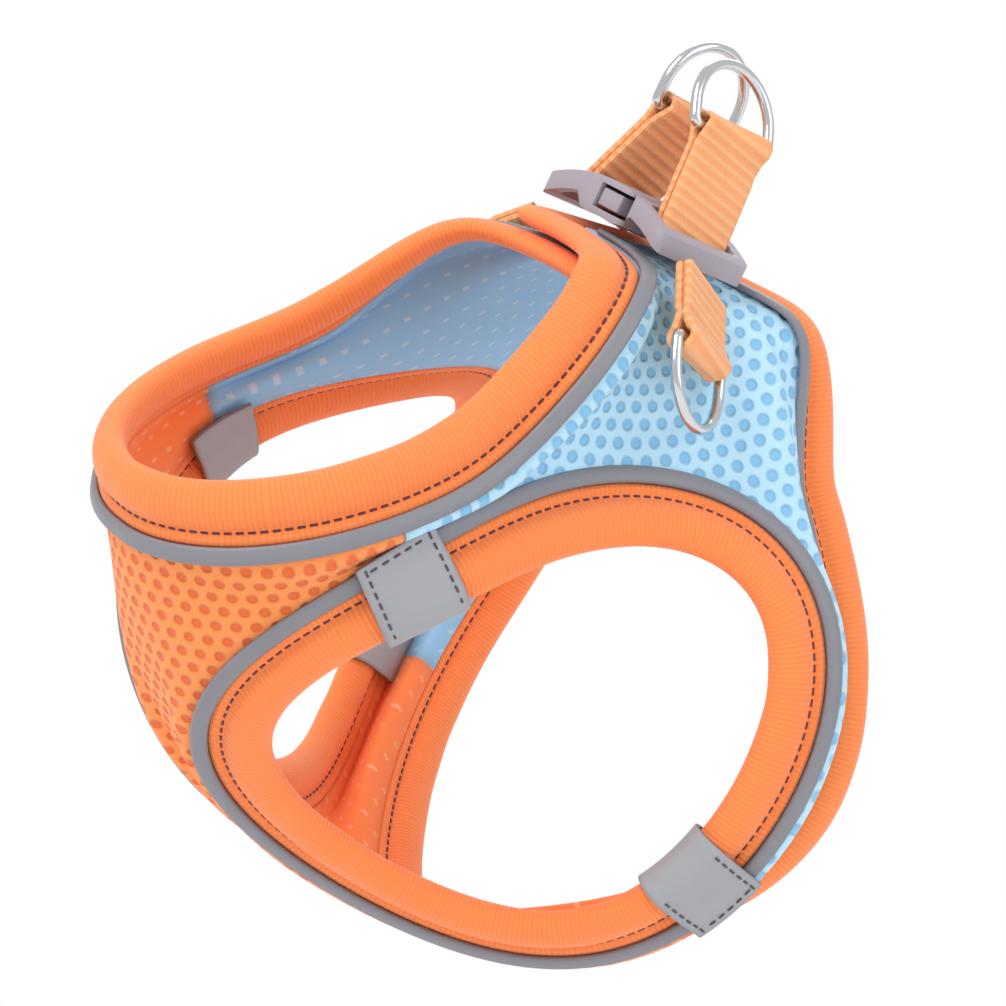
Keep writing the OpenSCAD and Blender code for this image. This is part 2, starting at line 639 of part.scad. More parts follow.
// ---- Side-release buckle, lying across both straps ----
half_length = slot_y + slot_w / 2 + rail_w;
body_end = slot_y - slot_w / 2 - 0.4;
half_width = web_w / 2 + slot_gap + rail_w;
function crown(y) = buckle_t / 2 - crown_r + sqrt(crown_r * crown_r - y * y);
function deep(y) = lerp(buckle_t, socket_t, smooth((body_end - abs(y)) / 3));
// Side outline of the buckle between two places across the spine
module crowned(from, to) {
    ys = span(from, to, 12);
    rotate([90, 0, 90]) linear_extrude(height = 2 * half_width + 2, center = true)
        polygon(concat([for (y = ys) [y, crown(y)]], [for (i = [12:-1:0]) [ys[i], crown(ys[i]) - deep(ys[i])]]));
}
module rounded(w, from, to, r) {
    translate([-w, from + r]) square([2 * w, to - from - 2 * r]);
    translate([r - w, from]) square([2 * (w - r), to - from]);
    for (x = [r - w, w - r]) for (y = [from + r, to - r]) translate([x, y]) circle(r = r, $fn = 32);
}
slot_from = slot_y - slot_w / 2;
slot_to = slot_y + slot_w / 2;
mouth = -slot_from + rail_w + 0.3;
pocket_end = mouth + prong_length + 1;
pocket_top = crown(0) - wall_t;
pocket_low = crown(0) - socket_t + wall_t;
arm_in = guide_w / 2 + 2.4;
module buckle_plan(from, to) {
    translate([0, 0, -20]) linear_extrude(height = 40) difference() {
        rounded(half_width, from, to, 1.6);
        if (to > slot_to) rounded(web_w / 2 + slot_gap, slot_from, slot_to, 1);
        if (from < -slot_to) rounded(web_w / 2 + slot_gap, -slot_to, -slot_from, 1);
    }
}
module at_buckle() {
    at_straps() translate([buckle_x, 0, buckle_rise]) children();
}
module buckle_socket() {
    color(plastic) at_buckle() difference() {
        intersection() {
            crowned(mouth, half_length);
            buckle_plan(mouth, half_length);
        }
        translate([-half_width + wall_t, mouth - 1, pocket_low])
            cube([2 * (half_width - wall_t), pocket_end - mouth + 1, pocket_top - pocket_low]);
        for (x = [-half_width - 1, half_width - wall_t - 1]) translate([x, mouth - 1, pocket_low])
            cube([wall_t + 2, notch_end - mouth + 1, pocket_top - pocket_low]);
    }
}
prong_top = pocket_top - prong_gap;
prong_low = pocket_low + prong_gap;
module buckle_plug() {
    root = mouth - 0.3;
    color(plastic) at_buckle() {
        intersection() {
            crowned(-half_length, root);
            buckle_plan(-half_length, root);
        }
        translate([-guide_w / 2, root - 0.5, prong_low]) cube([guide_w, prong_length + 0.5, prong_top - prong_low]);
    }
}
arm_w = 2;
arm_root = mouth + 0.3;
// A springy side arm of the plug, with the pad that is squeezed to open the buckle
module release_arm(front) {
    out = half_width - 0.3;
    color(plastic) at_buckle() mirror([front ? 0 : 1, 0, 0]) {
        translate([-arm_in - arm_w, arm_root, prong_low])
            cube([arm_w, prong_length - 1.2, prong_top - prong_low]);
        translate([-out, arm_root + pad_gap, prong_low])
            cube([out - arm_in - 0.5, notch_end - arm_root - pad_gap - 0.5, prong_top - prong_low]);
    }
}

chest_panel(1);  // chest_panel_left
chest_panel(-1);  // chest_panel_right
body_panel(1);  // body_panel_left
body_panel(-1);  // body_panel_right
outer_binding(1);  // outer_binding_left
outer_binding(-1);  // outer_binding_right
leg_binding(1);  // leg_binding_left
leg_binding(-1);  // leg_binding_right
outer_piping(1);  // outer_piping_left
outer_piping(-1);  // outer_piping_right
leg_piping(1);  // leg_piping_left
leg_piping(-1);  // leg_piping_right
shoulder_tab(1);  // shoulder_tab_left
shoulder_tab(-1);  // shoulder_tab_right
belly_tab(1);  // belly_tab_left
belly_tab(-1);  // belly_tab_right
loop_tape();
hook_tape();
strap_base(1);  // strap_base_left
strap_base(-1);  // strap_base_right
strap(1);  // strap_left
strap(-1);  // strap_right
leash_ring(1);  // leash_ring_left
leash_ring(-1);  // leash_ring_right
tag_ring();
buckle_socket();
buckle_plug();
release_arm(true);  // release_arm_front
release_arm(false);  // release_arm_rear
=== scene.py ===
"""Looks of a step-in mesh pet vest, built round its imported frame.

Sizes are in millimetres and become metres when a mesh is made. The frame is the record's:
X along the spine to the tail, Y to the pet's right, Z up, with the left half at -Y.
"""

import json
import logging
import math
from dataclasses import dataclass
from enum import Enum
from functools import cached_property

import bmesh
import bpy
import numpy as np
from mathutils import Matrix, Vector

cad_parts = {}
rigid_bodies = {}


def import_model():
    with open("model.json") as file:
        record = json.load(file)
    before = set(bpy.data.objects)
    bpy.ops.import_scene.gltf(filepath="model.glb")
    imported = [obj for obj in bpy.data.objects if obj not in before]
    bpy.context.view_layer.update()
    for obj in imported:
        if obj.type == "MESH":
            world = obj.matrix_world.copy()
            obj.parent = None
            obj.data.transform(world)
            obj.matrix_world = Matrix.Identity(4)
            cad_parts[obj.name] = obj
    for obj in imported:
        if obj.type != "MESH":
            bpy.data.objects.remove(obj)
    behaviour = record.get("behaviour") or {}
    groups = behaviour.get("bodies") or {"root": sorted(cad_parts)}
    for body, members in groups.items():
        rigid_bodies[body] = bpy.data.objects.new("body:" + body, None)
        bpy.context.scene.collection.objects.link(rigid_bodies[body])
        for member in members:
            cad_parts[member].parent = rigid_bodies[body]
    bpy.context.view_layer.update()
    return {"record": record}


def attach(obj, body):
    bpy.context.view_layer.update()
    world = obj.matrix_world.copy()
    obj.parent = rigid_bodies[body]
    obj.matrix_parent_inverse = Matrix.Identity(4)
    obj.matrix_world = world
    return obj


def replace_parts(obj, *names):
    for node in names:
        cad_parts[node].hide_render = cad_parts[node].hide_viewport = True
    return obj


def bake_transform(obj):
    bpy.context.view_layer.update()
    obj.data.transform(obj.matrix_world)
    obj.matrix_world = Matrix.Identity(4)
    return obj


LOG = logging.getLogger("vest")
MM = 0.001
Array = np.ndarray
Frames = tuple[Array, Array, Array]


class Side(Enum):
    """Which half of the vest; the left half's flap is the upper one."""

    LEFT = 1
    RIGHT = -1

    @property
    def body(self) -> str:
        """Name of the CAD body that carries this half."""
        return "vest" if self is Side.LEFT else "right_half"

    @property
    def word(self) -> str:
        """The side's name as CAD nodes spell it."""
        return self.name.lower()


# ---- Small numeric helpers ----


def unit(v: Array) -> Array:
    """Scales vectors to length 1.

    Args:
        v: Vectors, in the last axis.

    Returns:
        The same directions with length 1.
    """
    return v / np.maximum(np.linalg.norm(v, axis=-1, keepdims=True), 1e-12)


def smooth(k: Array) -> Array:
    """Smoothstep of k: 0 below 0, 1 above 1, with level ends.

    Args:
        k: Any numbers.

    Returns:
        The eased numbers.
    """
    c = np.clip(k, 0, 1)
    return c * c * (3 - 2 * c)


def cosd(a: Array) -> Array:
    """Cosine of an angle in degrees."""
    return np.cos(np.radians(a))


def sind(a: Array) -> Array:
    """Sine of an angle in degrees."""
    return np.sin(np.radians(a))


def dot(a: Array, b: Array) -> Array:
    """Dot product over the last axis, keeping that axis."""
    return np.sum(a * b, axis=-1, keepdims=True)


def mirrored(p: Array, side: Side) -> Array:
    """Turns left-half places into this side's.

    Args:
        p: Places or directions of the left half.
        side: The wanted half.

    Returns:
        The places, with Y negated for the right half.
    """
    return p * np.array([1, side.value, 1.0])


def run_length(p: Array) -> Array:
    """Distance along a path at each of its points, from 0.

    Args:
        p: Points of the path.

    Returns:
        One distance per point.
    """
    return np.r_[0, np.cumsum(np.linalg.norm(np.diff(p, axis=0), axis=1))]


# ---- The vest's form ----


@dataclass(frozen=True)
class VestForm:
    """Sizes of the sewn vest and the surfaces they give. The same sizes drive the CAD."""

    neck_height: float = 85
    neck_half_width: float = 28.2
    neck_lean: float = 50
    neck_side_rise: float = 8.6
    neck_side_bow: float = 5.8
    neck_egg: float = 2.7
    neck_square: float = 3.2
    neck_x: float = -46.6
    neck_z: float = 29
    rear_height: float = 121
    rear_half_width: float = 41
    rear_lean: float = 95.7
    rear_side_drop: float = 17.5
    rear_side_reach: float = 29
    rear_skew: float = 4
    rear_full: float = 5.7
    rear_x: float = 19.6
    rear_z: float = 7.3
    keel_drop: float = 16
    leg_half_length: float = 44.7
    leg_half_width: float = 35.4
    leg_rise: float = 40.3
    leg_turn: float = 28
    leg_roll: float = 14.6
    leg_square: float = 2.3
    leg_pear: float = 5.4
    leg_twist: float = 6.9
    leg_tuck: float = 0.5
    leg_tuck_swing: float = 0.25
    leg_tuck_at: float = 50
    leg_y: float = 32.4
    leg_x: float = -5.8
    leg_z: float = -7
    mesh_t: float = 2.2
    roll_w: float = 8
    roll_t: float = 5.6
    lip_w: float = 2.4
    piping_w: float = 2.5
    piping_t: float = 0.8
    sewn_gap: float = 0.2
    flap_reach: float = 11
    tape_t: float = 0.7
    tape_gap: float = 0.5
    flap_roll_keep: float = 0.68
    hinge_depth: float = 5
    shoulder_share: float = 0.285
    belly_share: float = 0.62
    leg_at_throat: float = 160
    leg_at_withers: float = 50
    leg_at_back: float = 34
    leg_at_belly: float = -120
    neck_ease: float = 0.65
    rear_ease: float = 1.2
    ease: float = 0.8
    neck_last: float = 0.91
    rear_first: float = 2.105
    most_by_leg: float = 0.42
    most_by_edge: float = 0.33
    leg_side: float = 0.2
    edge_side: float = 0.85
    fullness: float = 0.1
    flap_hold: float = 0.8
    step: float = 0.004
    relax_steps: int = 24

    across = np.array([0, -1.0, 0])

    @cached_property
    def neck_axes(self) -> tuple[Array, Array]:
        """Long axis and normal of the neck opening's plane."""
        a = self.neck_lean
        return np.array([cosd(a), 0, sind(a)]), np.array([-sind(a), 0, cosd(a)])

    @cached_property
    def rear_axes(self) -> tuple[Array, Array]:
        """Long axis and normal of the trunk opening's plane."""
        a = self.rear_lean
        return np.array([cosd(a), 0, sind(a)]), np.array([-sind(a), 0, cosd(a)])

    @cached_property
    def leg_axes(self) -> tuple[Array, Array, Array, Array]:
        """Centre, long axis, short axis and normal of the left leg opening.

        Returns:
            A point and three directions of length 1.
        """
        level, lift = cosd(self.leg_rise), sind(self.leg_rise)
        u = np.array([level * cosd(self.leg_turn), -level * sind(self.leg_turn), lift])
        flat = np.array([sind(self.leg_turn), cosd(self.leg_turn), 0])
        v = cosd(self.leg_roll) * unit(np.cross(flat, -u)) - sind(self.leg_roll) * flat
        return np.array([self.leg_x, -self.leg_y, self.leg_z]), u, v, np.cross(u, v)

    @cached_property
    def withers(self) -> Array:
        """Top of the neck opening."""
        return self.neck_point(np.array(0.0))

    @cached_property
    def throat(self) -> Array:
        """Bottom of the neck opening."""
        return self.neck_point(np.array(180.0))

    @cached_property
    def back_end(self) -> Array:
        """Top of the trunk opening."""
        return self.rear_point(np.array(0.0))

    @cached_property
    def belly(self) -> Array:
        """Bottom of the trunk opening."""
        return self.rear_point(np.array(180.0))

    @cached_property
    def keel(self) -> Array:
        """Direction from throat to belly."""
        return unit(self.belly - self.throat)

    @cached_property
    def keel_up(self) -> Array:
        """Direction square to the keel, towards the back."""
        return np.array([-self.keel[2], 0, self.keel[0]])

    @cached_property
    def keel_length(self) -> float:
        """Distance from throat to belly."""
        return float(np.linalg.norm(self.belly - self.throat))

    @cached_property
    def spine(self) -> Array:
        """Direction of the back's mid-line, to the tail."""
        return unit(self.back_end - self.withers)

    @cached_property
    def spine_up(self) -> Array:
        """Direction square to the spine, upwards."""
        return np.array([-self.spine[2], 0, self.spine[0]])

    @cached_property
    def hinge(self) -> Array:
        """A point of the line that the right half opens about."""
        return self.throat - self.keel_up * (self.keel_drop + self.hinge_depth)

    @cached_property
    def inset(self) -> float:
        """Distance from the middle of a roll to where the mesh begins."""
        return self.roll_w / 2 + self.lip_w + self.sewn_gap

    @cached_property
    def flat_band(self) -> float:
        """Width of the straight band of mesh beside each lip."""
        return self.piping_w + self.mesh_t / 2 + self.sewn_gap

    @property
    def shoulder_at(self) -> float:
        """Station of the seam between panels at the shoulder."""
        return self.shoulder_share

    @property
    def belly_at(self) -> float:
        """Station of the seam between panels at the belly."""
        return 2 + self.belly_share

    @cached_property
    def turns(self) -> tuple[float, float]:
        """Angles past the mid-line at which the neck and rear edges end.

        Returns:
            Degrees for the neck and for the rear.
        """
        neck = self.neck_half_width - 2 * self.neck_egg + 3 * self.neck_square
        rear = self.rear_half_width + 2 * self.rear_skew - 3 * self.rear_full
        return tuple(float(np.degrees(np.arcsin(self.flap_reach / w))) for w in (neck, rear))

    def neck_point(self, a: Array) -> Array:
        """Middle of the neck roll: an ellipse with second and third harmonics and a bow.

        Args:
            a: Angles in degrees, 0 at the withers and 180 at the throat.

        Returns:
            One point per angle.
        """
        u, n = self.neck_axes
        a = a[..., None]
        c, s = cosd(a), sind(a)
        along = self.neck_height / 2 * c - self.neck_square * (c - cosd(3 * a)) + self.neck_side_rise * s**2
        aside = self.neck_half_width * s - self.neck_egg * sind(2 * a) + self.neck_square * sind(3 * a)
        centre = np.array([self.neck_x, 0, self.neck_z])
        return centre + u * along + self.across * aside - n * self.neck_side_bow * s**2

    def rear_point(self, a: Array) -> Array:
        """Middle of the trunk opening's roll, as the neck's.

        Args:
            a: Angles in degrees, 0 at the back and 180 at the belly.

        Returns:
            One point per angle.
        """
        u, n = self.rear_axes
        a = a[..., None]
        c, s = cosd(a), sind(a)
        along = self.rear_height / 2 * c - self.rear_side_drop * s**2
        aside = self.rear_half_width * s + self.rear_skew * sind(2 * a) - self.rear_full * sind(3 * a)
        reach = self.rear_side_reach * s**2 + self.rear_skew * (c - cosd(3 * a))
        return np.array([self.rear_x, 0, self.rear_z]) + u * along + self.across * aside - n * reach

    def leg_point(self, a: Array) -> Array:
        """Middle of the left leg opening's roll: a pear-shaped, twisted ellipse.

        Args:
            a: Angles in degrees round the opening.

        Returns:
            One point per angle.
        """
        centre, u, v, n = self.leg_axes
        a = a[..., None]
        c, s = cosd(a), sind(a)
        along = self.leg_half_length * c - self.leg_square * (c - cosd(3 * a)) - self.leg_square * sind(2 * a)
        aside = self.leg_half_width * s + self.leg_pear * cosd(2 * a)
        inwards = self.leg_twist * sind(2 * a) + self.leg_square * cosd(2 * a)
        return centre + u * along + v * aside - n * inwards

    def chest_line(self, j: Array) -> Array:
        """Mid-line of the chest: a parabola hung from belly (0) to throat (1)."""
        j = j[..., None]
        return self.belly + (self.throat - self.belly) * j - self.keel_up * 4 * self.keel_drop * j * (1 - j)

    def chest_normal(self, j: Array) -> Array:
        """Outward normal of the chest's mid-line.

        Args:
            j: Shares of the way from belly to throat.

        Returns:
            One direction per share.
        """
        j = j[..., None]
        run = unit(self.throat - self.belly - self.keel_up * 4 * self.keel_drop * (1 - 2 * j))
        return np.stack([-run[..., 2], 0 * run[..., 0], run[..., 0]], -1)

    def above_hinge(self, p: Array) -> Array:
        """Height above the opening hinge line."""
        return (p - self.hinge) @ self.keel_up

    def flap_share(self, p: Array) -> Array:
        """How far a place belongs to the flaps' cone: 1 near the spine, fading down the flanks.

        Args:
            p: Places.

        Returns:
            Shares from 0 to 1.
        """
        edge = self.flap_reach + self.roll_w / 2
        low = self.above_hinge(p) < self.above_hinge(self.withers) / 2
        return np.where(low, 0, 1 - smooth((np.abs(p[..., 1]) - edge) / 12))

    def cone_height(self, x: Array, y: Array, out: float) -> Array:
        """Height of the flaps' cone over the spine line: out - slope y^2 / 2h.

        Args:
            x: Distance along the spine line.
            y: Distance across it.
            out: Height of the wanted layer on the mid-line.

        Returns:
            Height above the spine line.
        """
        slope = self.spine_up @ self.keel_up
        at = self.withers + self.spine * np.asarray(x)[..., None]
        return out - slope * y * y / (2 * self.above_hinge(at))

    def to_flap(self, p: Array, side: Side, extra: float = 0.0) -> Array:
        """Pushes places near the spine onto this side's flap layer.

        Args:
            p: Places of the left half.
            side: Which flap.
            extra: Further height over the layer's middle.

        Returns:
            The moved places.
        """
        half = self.mesh_t / 2 + self.tape_t + self.tape_gap / 2 + self.sewn_gap
        d = p - self.withers
        lift = self.cone_height(d @ self.spine, p[..., 1], side.value * half + extra) - d @ self.spine_up
        return p + self.spine_up * (self.flap_share(p) * lift)[..., None]

    def flap_normal(self, p: Array) -> Array:
        """Outward normal of the flaps' cone."""
        radial = unit(self.keel_up * self.above_hinge(p)[..., None] + p * np.array([0, 1.0, 0]))
        return radial * (self.spine_up @ self.keel_up) + self.keel * (self.spine_up @ self.keel)

    def eased(self, k: Array, power: float) -> Array:
        """Eased share, so that stations crowd where the leg opening faces the flap."""
        k = np.clip(k, 0, 1)
        return self.ease * smooth(np.power(k, power)) + (1 - self.ease) * k

    def leg_angle(self, k: Array) -> Array:
        """Angle on the leg opening that faces station k of the outer edge.

        Args:
            k: Stations.

        Returns:
            Degrees round the leg opening.
        """
        top = self.leg_at_withers + (self.leg_at_back - self.leg_at_withers) * (k - 1)
        rear = self.leg_at_back + (self.leg_at_belly - self.leg_at_back) * self.eased(k - 2, self.rear_ease)
        chest = self.leg_at_belly + (self.leg_at_throat - 360 - self.leg_at_belly) * (k - 3)
        neck = self.leg_at_throat + (self.leg_at_withers - self.leg_at_throat) * self.eased(k, self.neck_ease)
        return np.where(k < 1, neck, np.where(k < 2, top, np.where(k < 3, rear, chest)))

    def edge_point(self, k: Array) -> Array:
        """Middle of the outer roll before the flaps are laid over each other.

        Args:
            k: Stations: 0-1 neck from the throat, 1-2 flap edge, 2-3 rear edge to the belly.

        Returns:
            One point per station.
        """
        neck_turn, rear_turn = self.turns
        a = 180 - (neck_turn + 180) * k
        b = -rear_turn + (180 + rear_turn) * (k - 2)
        past_neck = self.withers - self.across * (self.flap_reach * -a / neck_turn)[..., None]
        past_rear = self.back_end - self.across * (self.flap_reach * -b / rear_turn)[..., None]
        neck = np.where((a < 0)[..., None], past_neck, self.neck_point(a))
        rear = np.where((b < 0)[..., None], past_rear, self.rear_point(b))
        on_line = (self.back_end - self.withers) * (k - 1)[..., None]
        flap = self.withers + on_line - self.across * self.flap_reach
        return np.where((k < 1)[..., None], neck, np.where((k < 2)[..., None], flap, rear))

    def edge_normal(self, k: Array) -> Array:
        """Outward normal along the outer edge, before the flaps are laid over each other.

        Args:
            k: Stations.

        Returns:
            One direction per station.
        """
        neck_turn, rear_turn = self.turns
        t_run = unit(self.keel * self.keel_length - self.keel_up * 4 * self.keel_drop)
        b_run = unit(-self.keel * self.keel_length - self.keel_up * 4 * self.keel_drop)

        def facing(a: Array, side: Array, low: Array) -> Array:
            c, s = cosd(a)[..., None], sind(a)[..., None]
            return unit(low * np.maximum(0, -c) + self.spine_up * np.maximum(0, c) + side * np.maximum(0, s))

        neck = facing(180 - (neck_turn + 180) * k, unit(np.array([-0.30, -0.90, 0.30])),
                      np.array([t_run[2], 0, -t_run[0]]))
        rear = facing(-rear_turn + (180 + rear_turn) * (k - 2), unit(np.array([0.05, -1, 0])),
                      np.array([-b_run[2], 0, b_run[0]]))
        return np.where((k < 1)[..., None], neck, np.where((k < 2)[..., None], self.spine_up, rear))

    def warped_normal(self, k: Array, side: Side) -> Array:
        """Outward normal along the outer edge of the finished flaps.

        Args:
            k: Stations.
            side: Which half.

        Returns:
            One direction per station.
        """
        p = self.edge_point(k)
        share = self.flap_share(p)[..., None]
        return unit(self.edge_normal(k) * (1 - share) + self.flap_normal(self.to_flap(p, side)) * share)

    def edge_frame(self, k: Array, side: Side) -> Frames:
        """Places on the outer edge: [point, outward normal, direction into the fabric].

        Args:
            k: Stations.
            side: Which half's flap layer; places are still those of the left half.

        Returns:
            The three arrays.
        """
        p = self.to_flap(self.edge_point(k), side)
        ahead = self.to_flap(self.edge_point(np.clip(k + self.step, 0, 3)), side)
        behind = self.to_flap(self.edge_point(np.clip(k - self.step, 0, 3)), side)
        run = unit(ahead - behind)
        run = np.where((k > 3 - self.step)[:, None], -self.across, run)
        run = np.where((k < self.step)[:, None], self.across, run)
        n = self.warped_normal(k, side)
        n = unit(n - run * dot(n, run))
        f = np.cross(run, n)
        for corner, at, along in ((1, self.withers, self.spine), (2, self.back_end, -self.spine)):
            hit = np.abs(k - corner) < 1e-9
            if hit.any():
                cp = self.to_flap(at - self.across * self.flap_reach, side)
                cn = self.flap_normal(cp)
                down = self.across - cn * (self.across @ cn)
                p[hit], n[hit], f[hit] = cp, cn, unit(along - cn * (along @ cn)) + unit(down)
        return p, n, f

    def leg_frame(self, k: Array) -> Frames:
        """Places on the left leg opening's roll, as edge_frame gives them.

        Args:
            k: Stations.

        Returns:
            Points, outward normals and directions into the fabric.
        """
        a = self.leg_angle(k)
        p = self.leg_point(a)
        run = unit(self.leg_point(a - 1) - self.leg_point(a + 1))
        tuck = self.leg_tuck + self.leg_tuck_swing * cosd(2 * (a - self.leg_tuck_at))
        out = unit(p - self.leg_axes[0]) + np.stack([0 * a, tuck, 0 * a], -1)
        n = unit(np.cross(run, out))
        return p, n, np.cross(n, run)

    def moved_in(self, f: Frames) -> Frames:
        """Frames at the mesh's own edge instead of the roll's middle."""
        return f[0] + f[2] * self.inset, f[1], f[2]

    def outer_end(self, k: Array, side: Side) -> Frames:
        """Where the mesh meets the outer lip, or the chest's mid-line past station 3.

        Args:
            k: Stations.
            side: Which half.

        Returns:
            Points, outward normals and directions into the fabric.
        """
        j = (self.inset + (self.keel_length - 2 * self.inset) * (k - 3)) / self.keel_length
        chest = (self.chest_line(j), self.chest_normal(j), np.broadcast_to(self.across, (len(k), 3)))
        plain = self.moved_in(self.edge_frame(np.minimum(k, 3), side))
        knots = np.array([self.neck_last, 1, 2, self.rear_first])
        at = self.moved_in(self.edge_frame(knots, side))
        i = np.clip(np.searchsorted(knots, k, side="right") - 1, 0, 2)
        t = np.clip((k - knots[i]) / (knots[i + 1] - knots[i]), 0, 1)[:, None]
        flap = [at[q][i] * (1 - t) + at[q][i + 1] * t for q in range(3)]
        flap[1] = unit(flap[1])
        in_flap = ((k > self.neck_last) & (k < self.rear_first))[:, None]
        past = (k > 3)[:, None]
        return tuple(np.where(past, chest[q], np.where(in_flap, flap[q], plain[q])) for q in range(3))

    def mesh_at(self, k: Array, s: Array, side: Side) -> Array:
        """Middle of the air mesh: straight bands beside both lips and a cubic curve between.

        Args:
            k: Stations, one per place.
            s: Share from the leg opening (0) to the outer edge (1), one per place.
            side: Which half's flap layer.

        Returns:
            One place of the left half each.
        """
        o, leg = self.outer_end(k, side), self.moved_in(self.leg_frame(k))
        far = np.linalg.norm(o[0] - leg[0], axis=-1, keepdims=True)
        low = leg[0] + leg[2] * np.minimum(self.flat_band, far * self.most_by_leg)
        high = o[0] + o[2] * np.minimum(self.flat_band, far * self.most_by_edge)
        reach = np.linalg.norm(high - low, axis=-1, keepdims=True) * self.fullness
        s1 = s[:, None]
        t = np.clip((s1 - self.leg_side) / (self.edge_side - self.leg_side), 0, 1)
        middle = (low * (1 - t) ** 3 + (low + leg[2] * reach) * 3 * t * (1 - t) ** 2
                  + (high + o[2] * reach) * 3 * t * t * (1 - t) + high * t**3)
        by_edge = high + (o[0] - high) * (s1 - self.edge_side) / (1 - self.edge_side)
        p = np.where(s1 >= self.edge_side, by_edge, middle)
        p = np.where(s1 <= self.leg_side, leg[0] + (low - leg[0]) * s1 / self.leg_side, p)
        in_flap = (k > self.neck_last) & (k < self.rear_first)
        held = smooth((s - self.flap_hold) / (self.edge_side - self.flap_hold))
        loose = np.where(in_flap, 1, 1 - held)[:, None]
        q = p + (self.to_flap(p, side) - p) * loose
        in_chest = (k > self.belly_at) | (k < self.shoulder_at)
        q[:, 1] = np.where(in_chest, np.minimum(q[:, 1], 0), q[:, 1])
        return q

    def mesh_grid(self, ks: Array, ss: Array, side: Side) -> Array:
        """A grid of places on this side's mesh, eased so that stretched cloth shows no creases.

        Args:
            ks: Stations of the rows.
            ss: Shares of the columns.
            side: Which half.

        Returns:
            Places, as rows by columns by 3.
        """
        k, s = np.meshgrid(ks, ss, indexing="ij")
        p = self.mesh_at(k.ravel(), s.ravel(), side).reshape(len(ks), len(ss), 3)
        wide = smooth((np.linalg.norm(p[:, -1] - p[:, 0], axis=-1) - 10) / 12)
        share = (0.1 + 0.9 * wide)[1:-1, None, None] * self.relax_share(ss)[None, 1:-1, None]
        for _ in range(self.relax_steps):
            mean = (p[:-2, 1:-1] + p[2:, 1:-1] + p[1:-1, :-2] + p[1:-1, 2:]) / 4
            p[1:-1, 1:-1] += (mean - p[1:-1, 1:-1]) * share
        return mirrored(p, side)

    def relax_share(self, ss: Array) -> Array:
        """How far each column is eased to its neighbours' mean: least beside the lips."""
        near = np.minimum(ss, 1 - ss)
        return 0.15 + 0.6 * smooth((near - 0.06) / 0.12)

    def outer_path(self, side: Side, gap: float) -> Frames:
        """Frames at even steps along the whole outer roll, with softly turned flap corners.

        Args:
            side: Which half.
            gap: Wanted distance between frames.

        Returns:
            The frames of that half, from the throat to the belly.
        """
        k = np.linspace(0, 3, 2401)
        k = k[(np.abs(k - 1) > 1e-6) & (np.abs(k - 2) > 1e-6)]
        p, n, _ = self.edge_frame(k, side)
        s = run_length(p)
        even = np.linspace(0, s[-1], int(s[-1] / gap) + 1)
        p, n = (np.stack([np.interp(even, s, v[:, i]) for i in range(3)], -1) for v in (p, n))
        top = self.flap_share(p)
        wide = int(3.2 / gap)
        kernel = np.exp(-0.5 * (np.arange(-3 * wide, 3 * wide + 1) / wide) ** 2)
        kernel /= kernel.sum()

        def soft(v: Array) -> Array:
            padded = np.pad(v, ((3 * wide, 3 * wide), (0, 0)), mode="edge")
            return np.stack([np.convolve(padded[:, i], kernel, "valid") for i in range(3)], -1)

        near = smooth((top - 0.2) / 0.6)[:, None]
        p, n = p + (soft(p) - p) * near, unit(n + (soft(n) - n) * near)
        return path_frames(mirrored(p, side), mirrored(n, side), flip=side is Side.LEFT)

    def leg_path(self, side: Side, gap: float) -> Frames:
        """Frames at even steps round a leg opening's roll, closed.

        Args:
            side: Which half.
            gap: Wanted distance between frames.

        Returns:
            The frames; the last is one step before the first.
        """
        a = np.linspace(0, 360, 1441)
        p = self.leg_point(a)
        s = run_length(p)
        even = np.linspace(0, s[-1], int(s[-1] / gap) + 1)[:-1]
        a = np.interp(even, s, a)
        p = self.leg_point(a)
        run = unit(self.leg_point(a - 1) - self.leg_point(a + 1))
        tuck = self.leg_tuck + self.leg_tuck_swing * cosd(2 * (a - self.leg_tuck_at))
        out = unit(p - self.leg_axes[0]) + np.stack([0 * a, tuck, 0 * a], -1)
        n = unit(np.cross(run, out))
        return tuple(mirrored(v, side) for v in (p, n, np.cross(n, run)))


def path_frames(p: Array, n: Array, flip: bool) -> Frames:
    """Frames of a path from its points and rough normals.

    Args:
        p: Points.
        n: Rough outward normals.
        flip: True where the fabric lies to the left of the run, seen from outside.

    Returns:
        Points, normals and directions into the fabric.
    """
    run = unit(np.gradient(p, axis=0))
    n = unit(n - run * dot(n, run))
    f = np.cross(run, n)
    return p, n, f if flip else -f


# ---- Mesh makers ----


def new_object(name: str, verts: Array, faces: Array, uv: Array | None = None) -> bpy.types.Object:
    """Makes a mesh object from arrays in millimetres.

    Args:
        name: The piece's name.
        verts: Places, one row each.
        faces: Corner indices, one row of four each.
        uv: Fabric coordinates per face corner, in metres.

    Returns:
        The object, at the origin, with smooth faces that point outwards.
    """
    verts, faces = np.asarray(verts, float), np.asarray(faces)
    mesh = bpy.data.meshes.new(name)
    mesh.from_pydata((verts * MM).tolist(), [], faces.tolist())
    if uv is not None:
        mesh.uv_layers.new(name="Fabric").data.foreach_set("uv", np.asarray(uv, np.float32).ravel())
    mesh.shade_smooth()
    obj = bpy.data.objects.new(name, mesh)
    bpy.context.scene.collection.objects.link(obj)
    return obj


def signed_volume(verts: Array, faces: Array) -> float:
    """Volume inside a closed skin of four-cornered faces; negative where it is inside out."""
    v = verts[faces]
    return float(sum(np.einsum("ij,ij->", v[:, 0], np.cross(v[:, a], v[:, a + 1])) for a in (1, 2)) / 6)


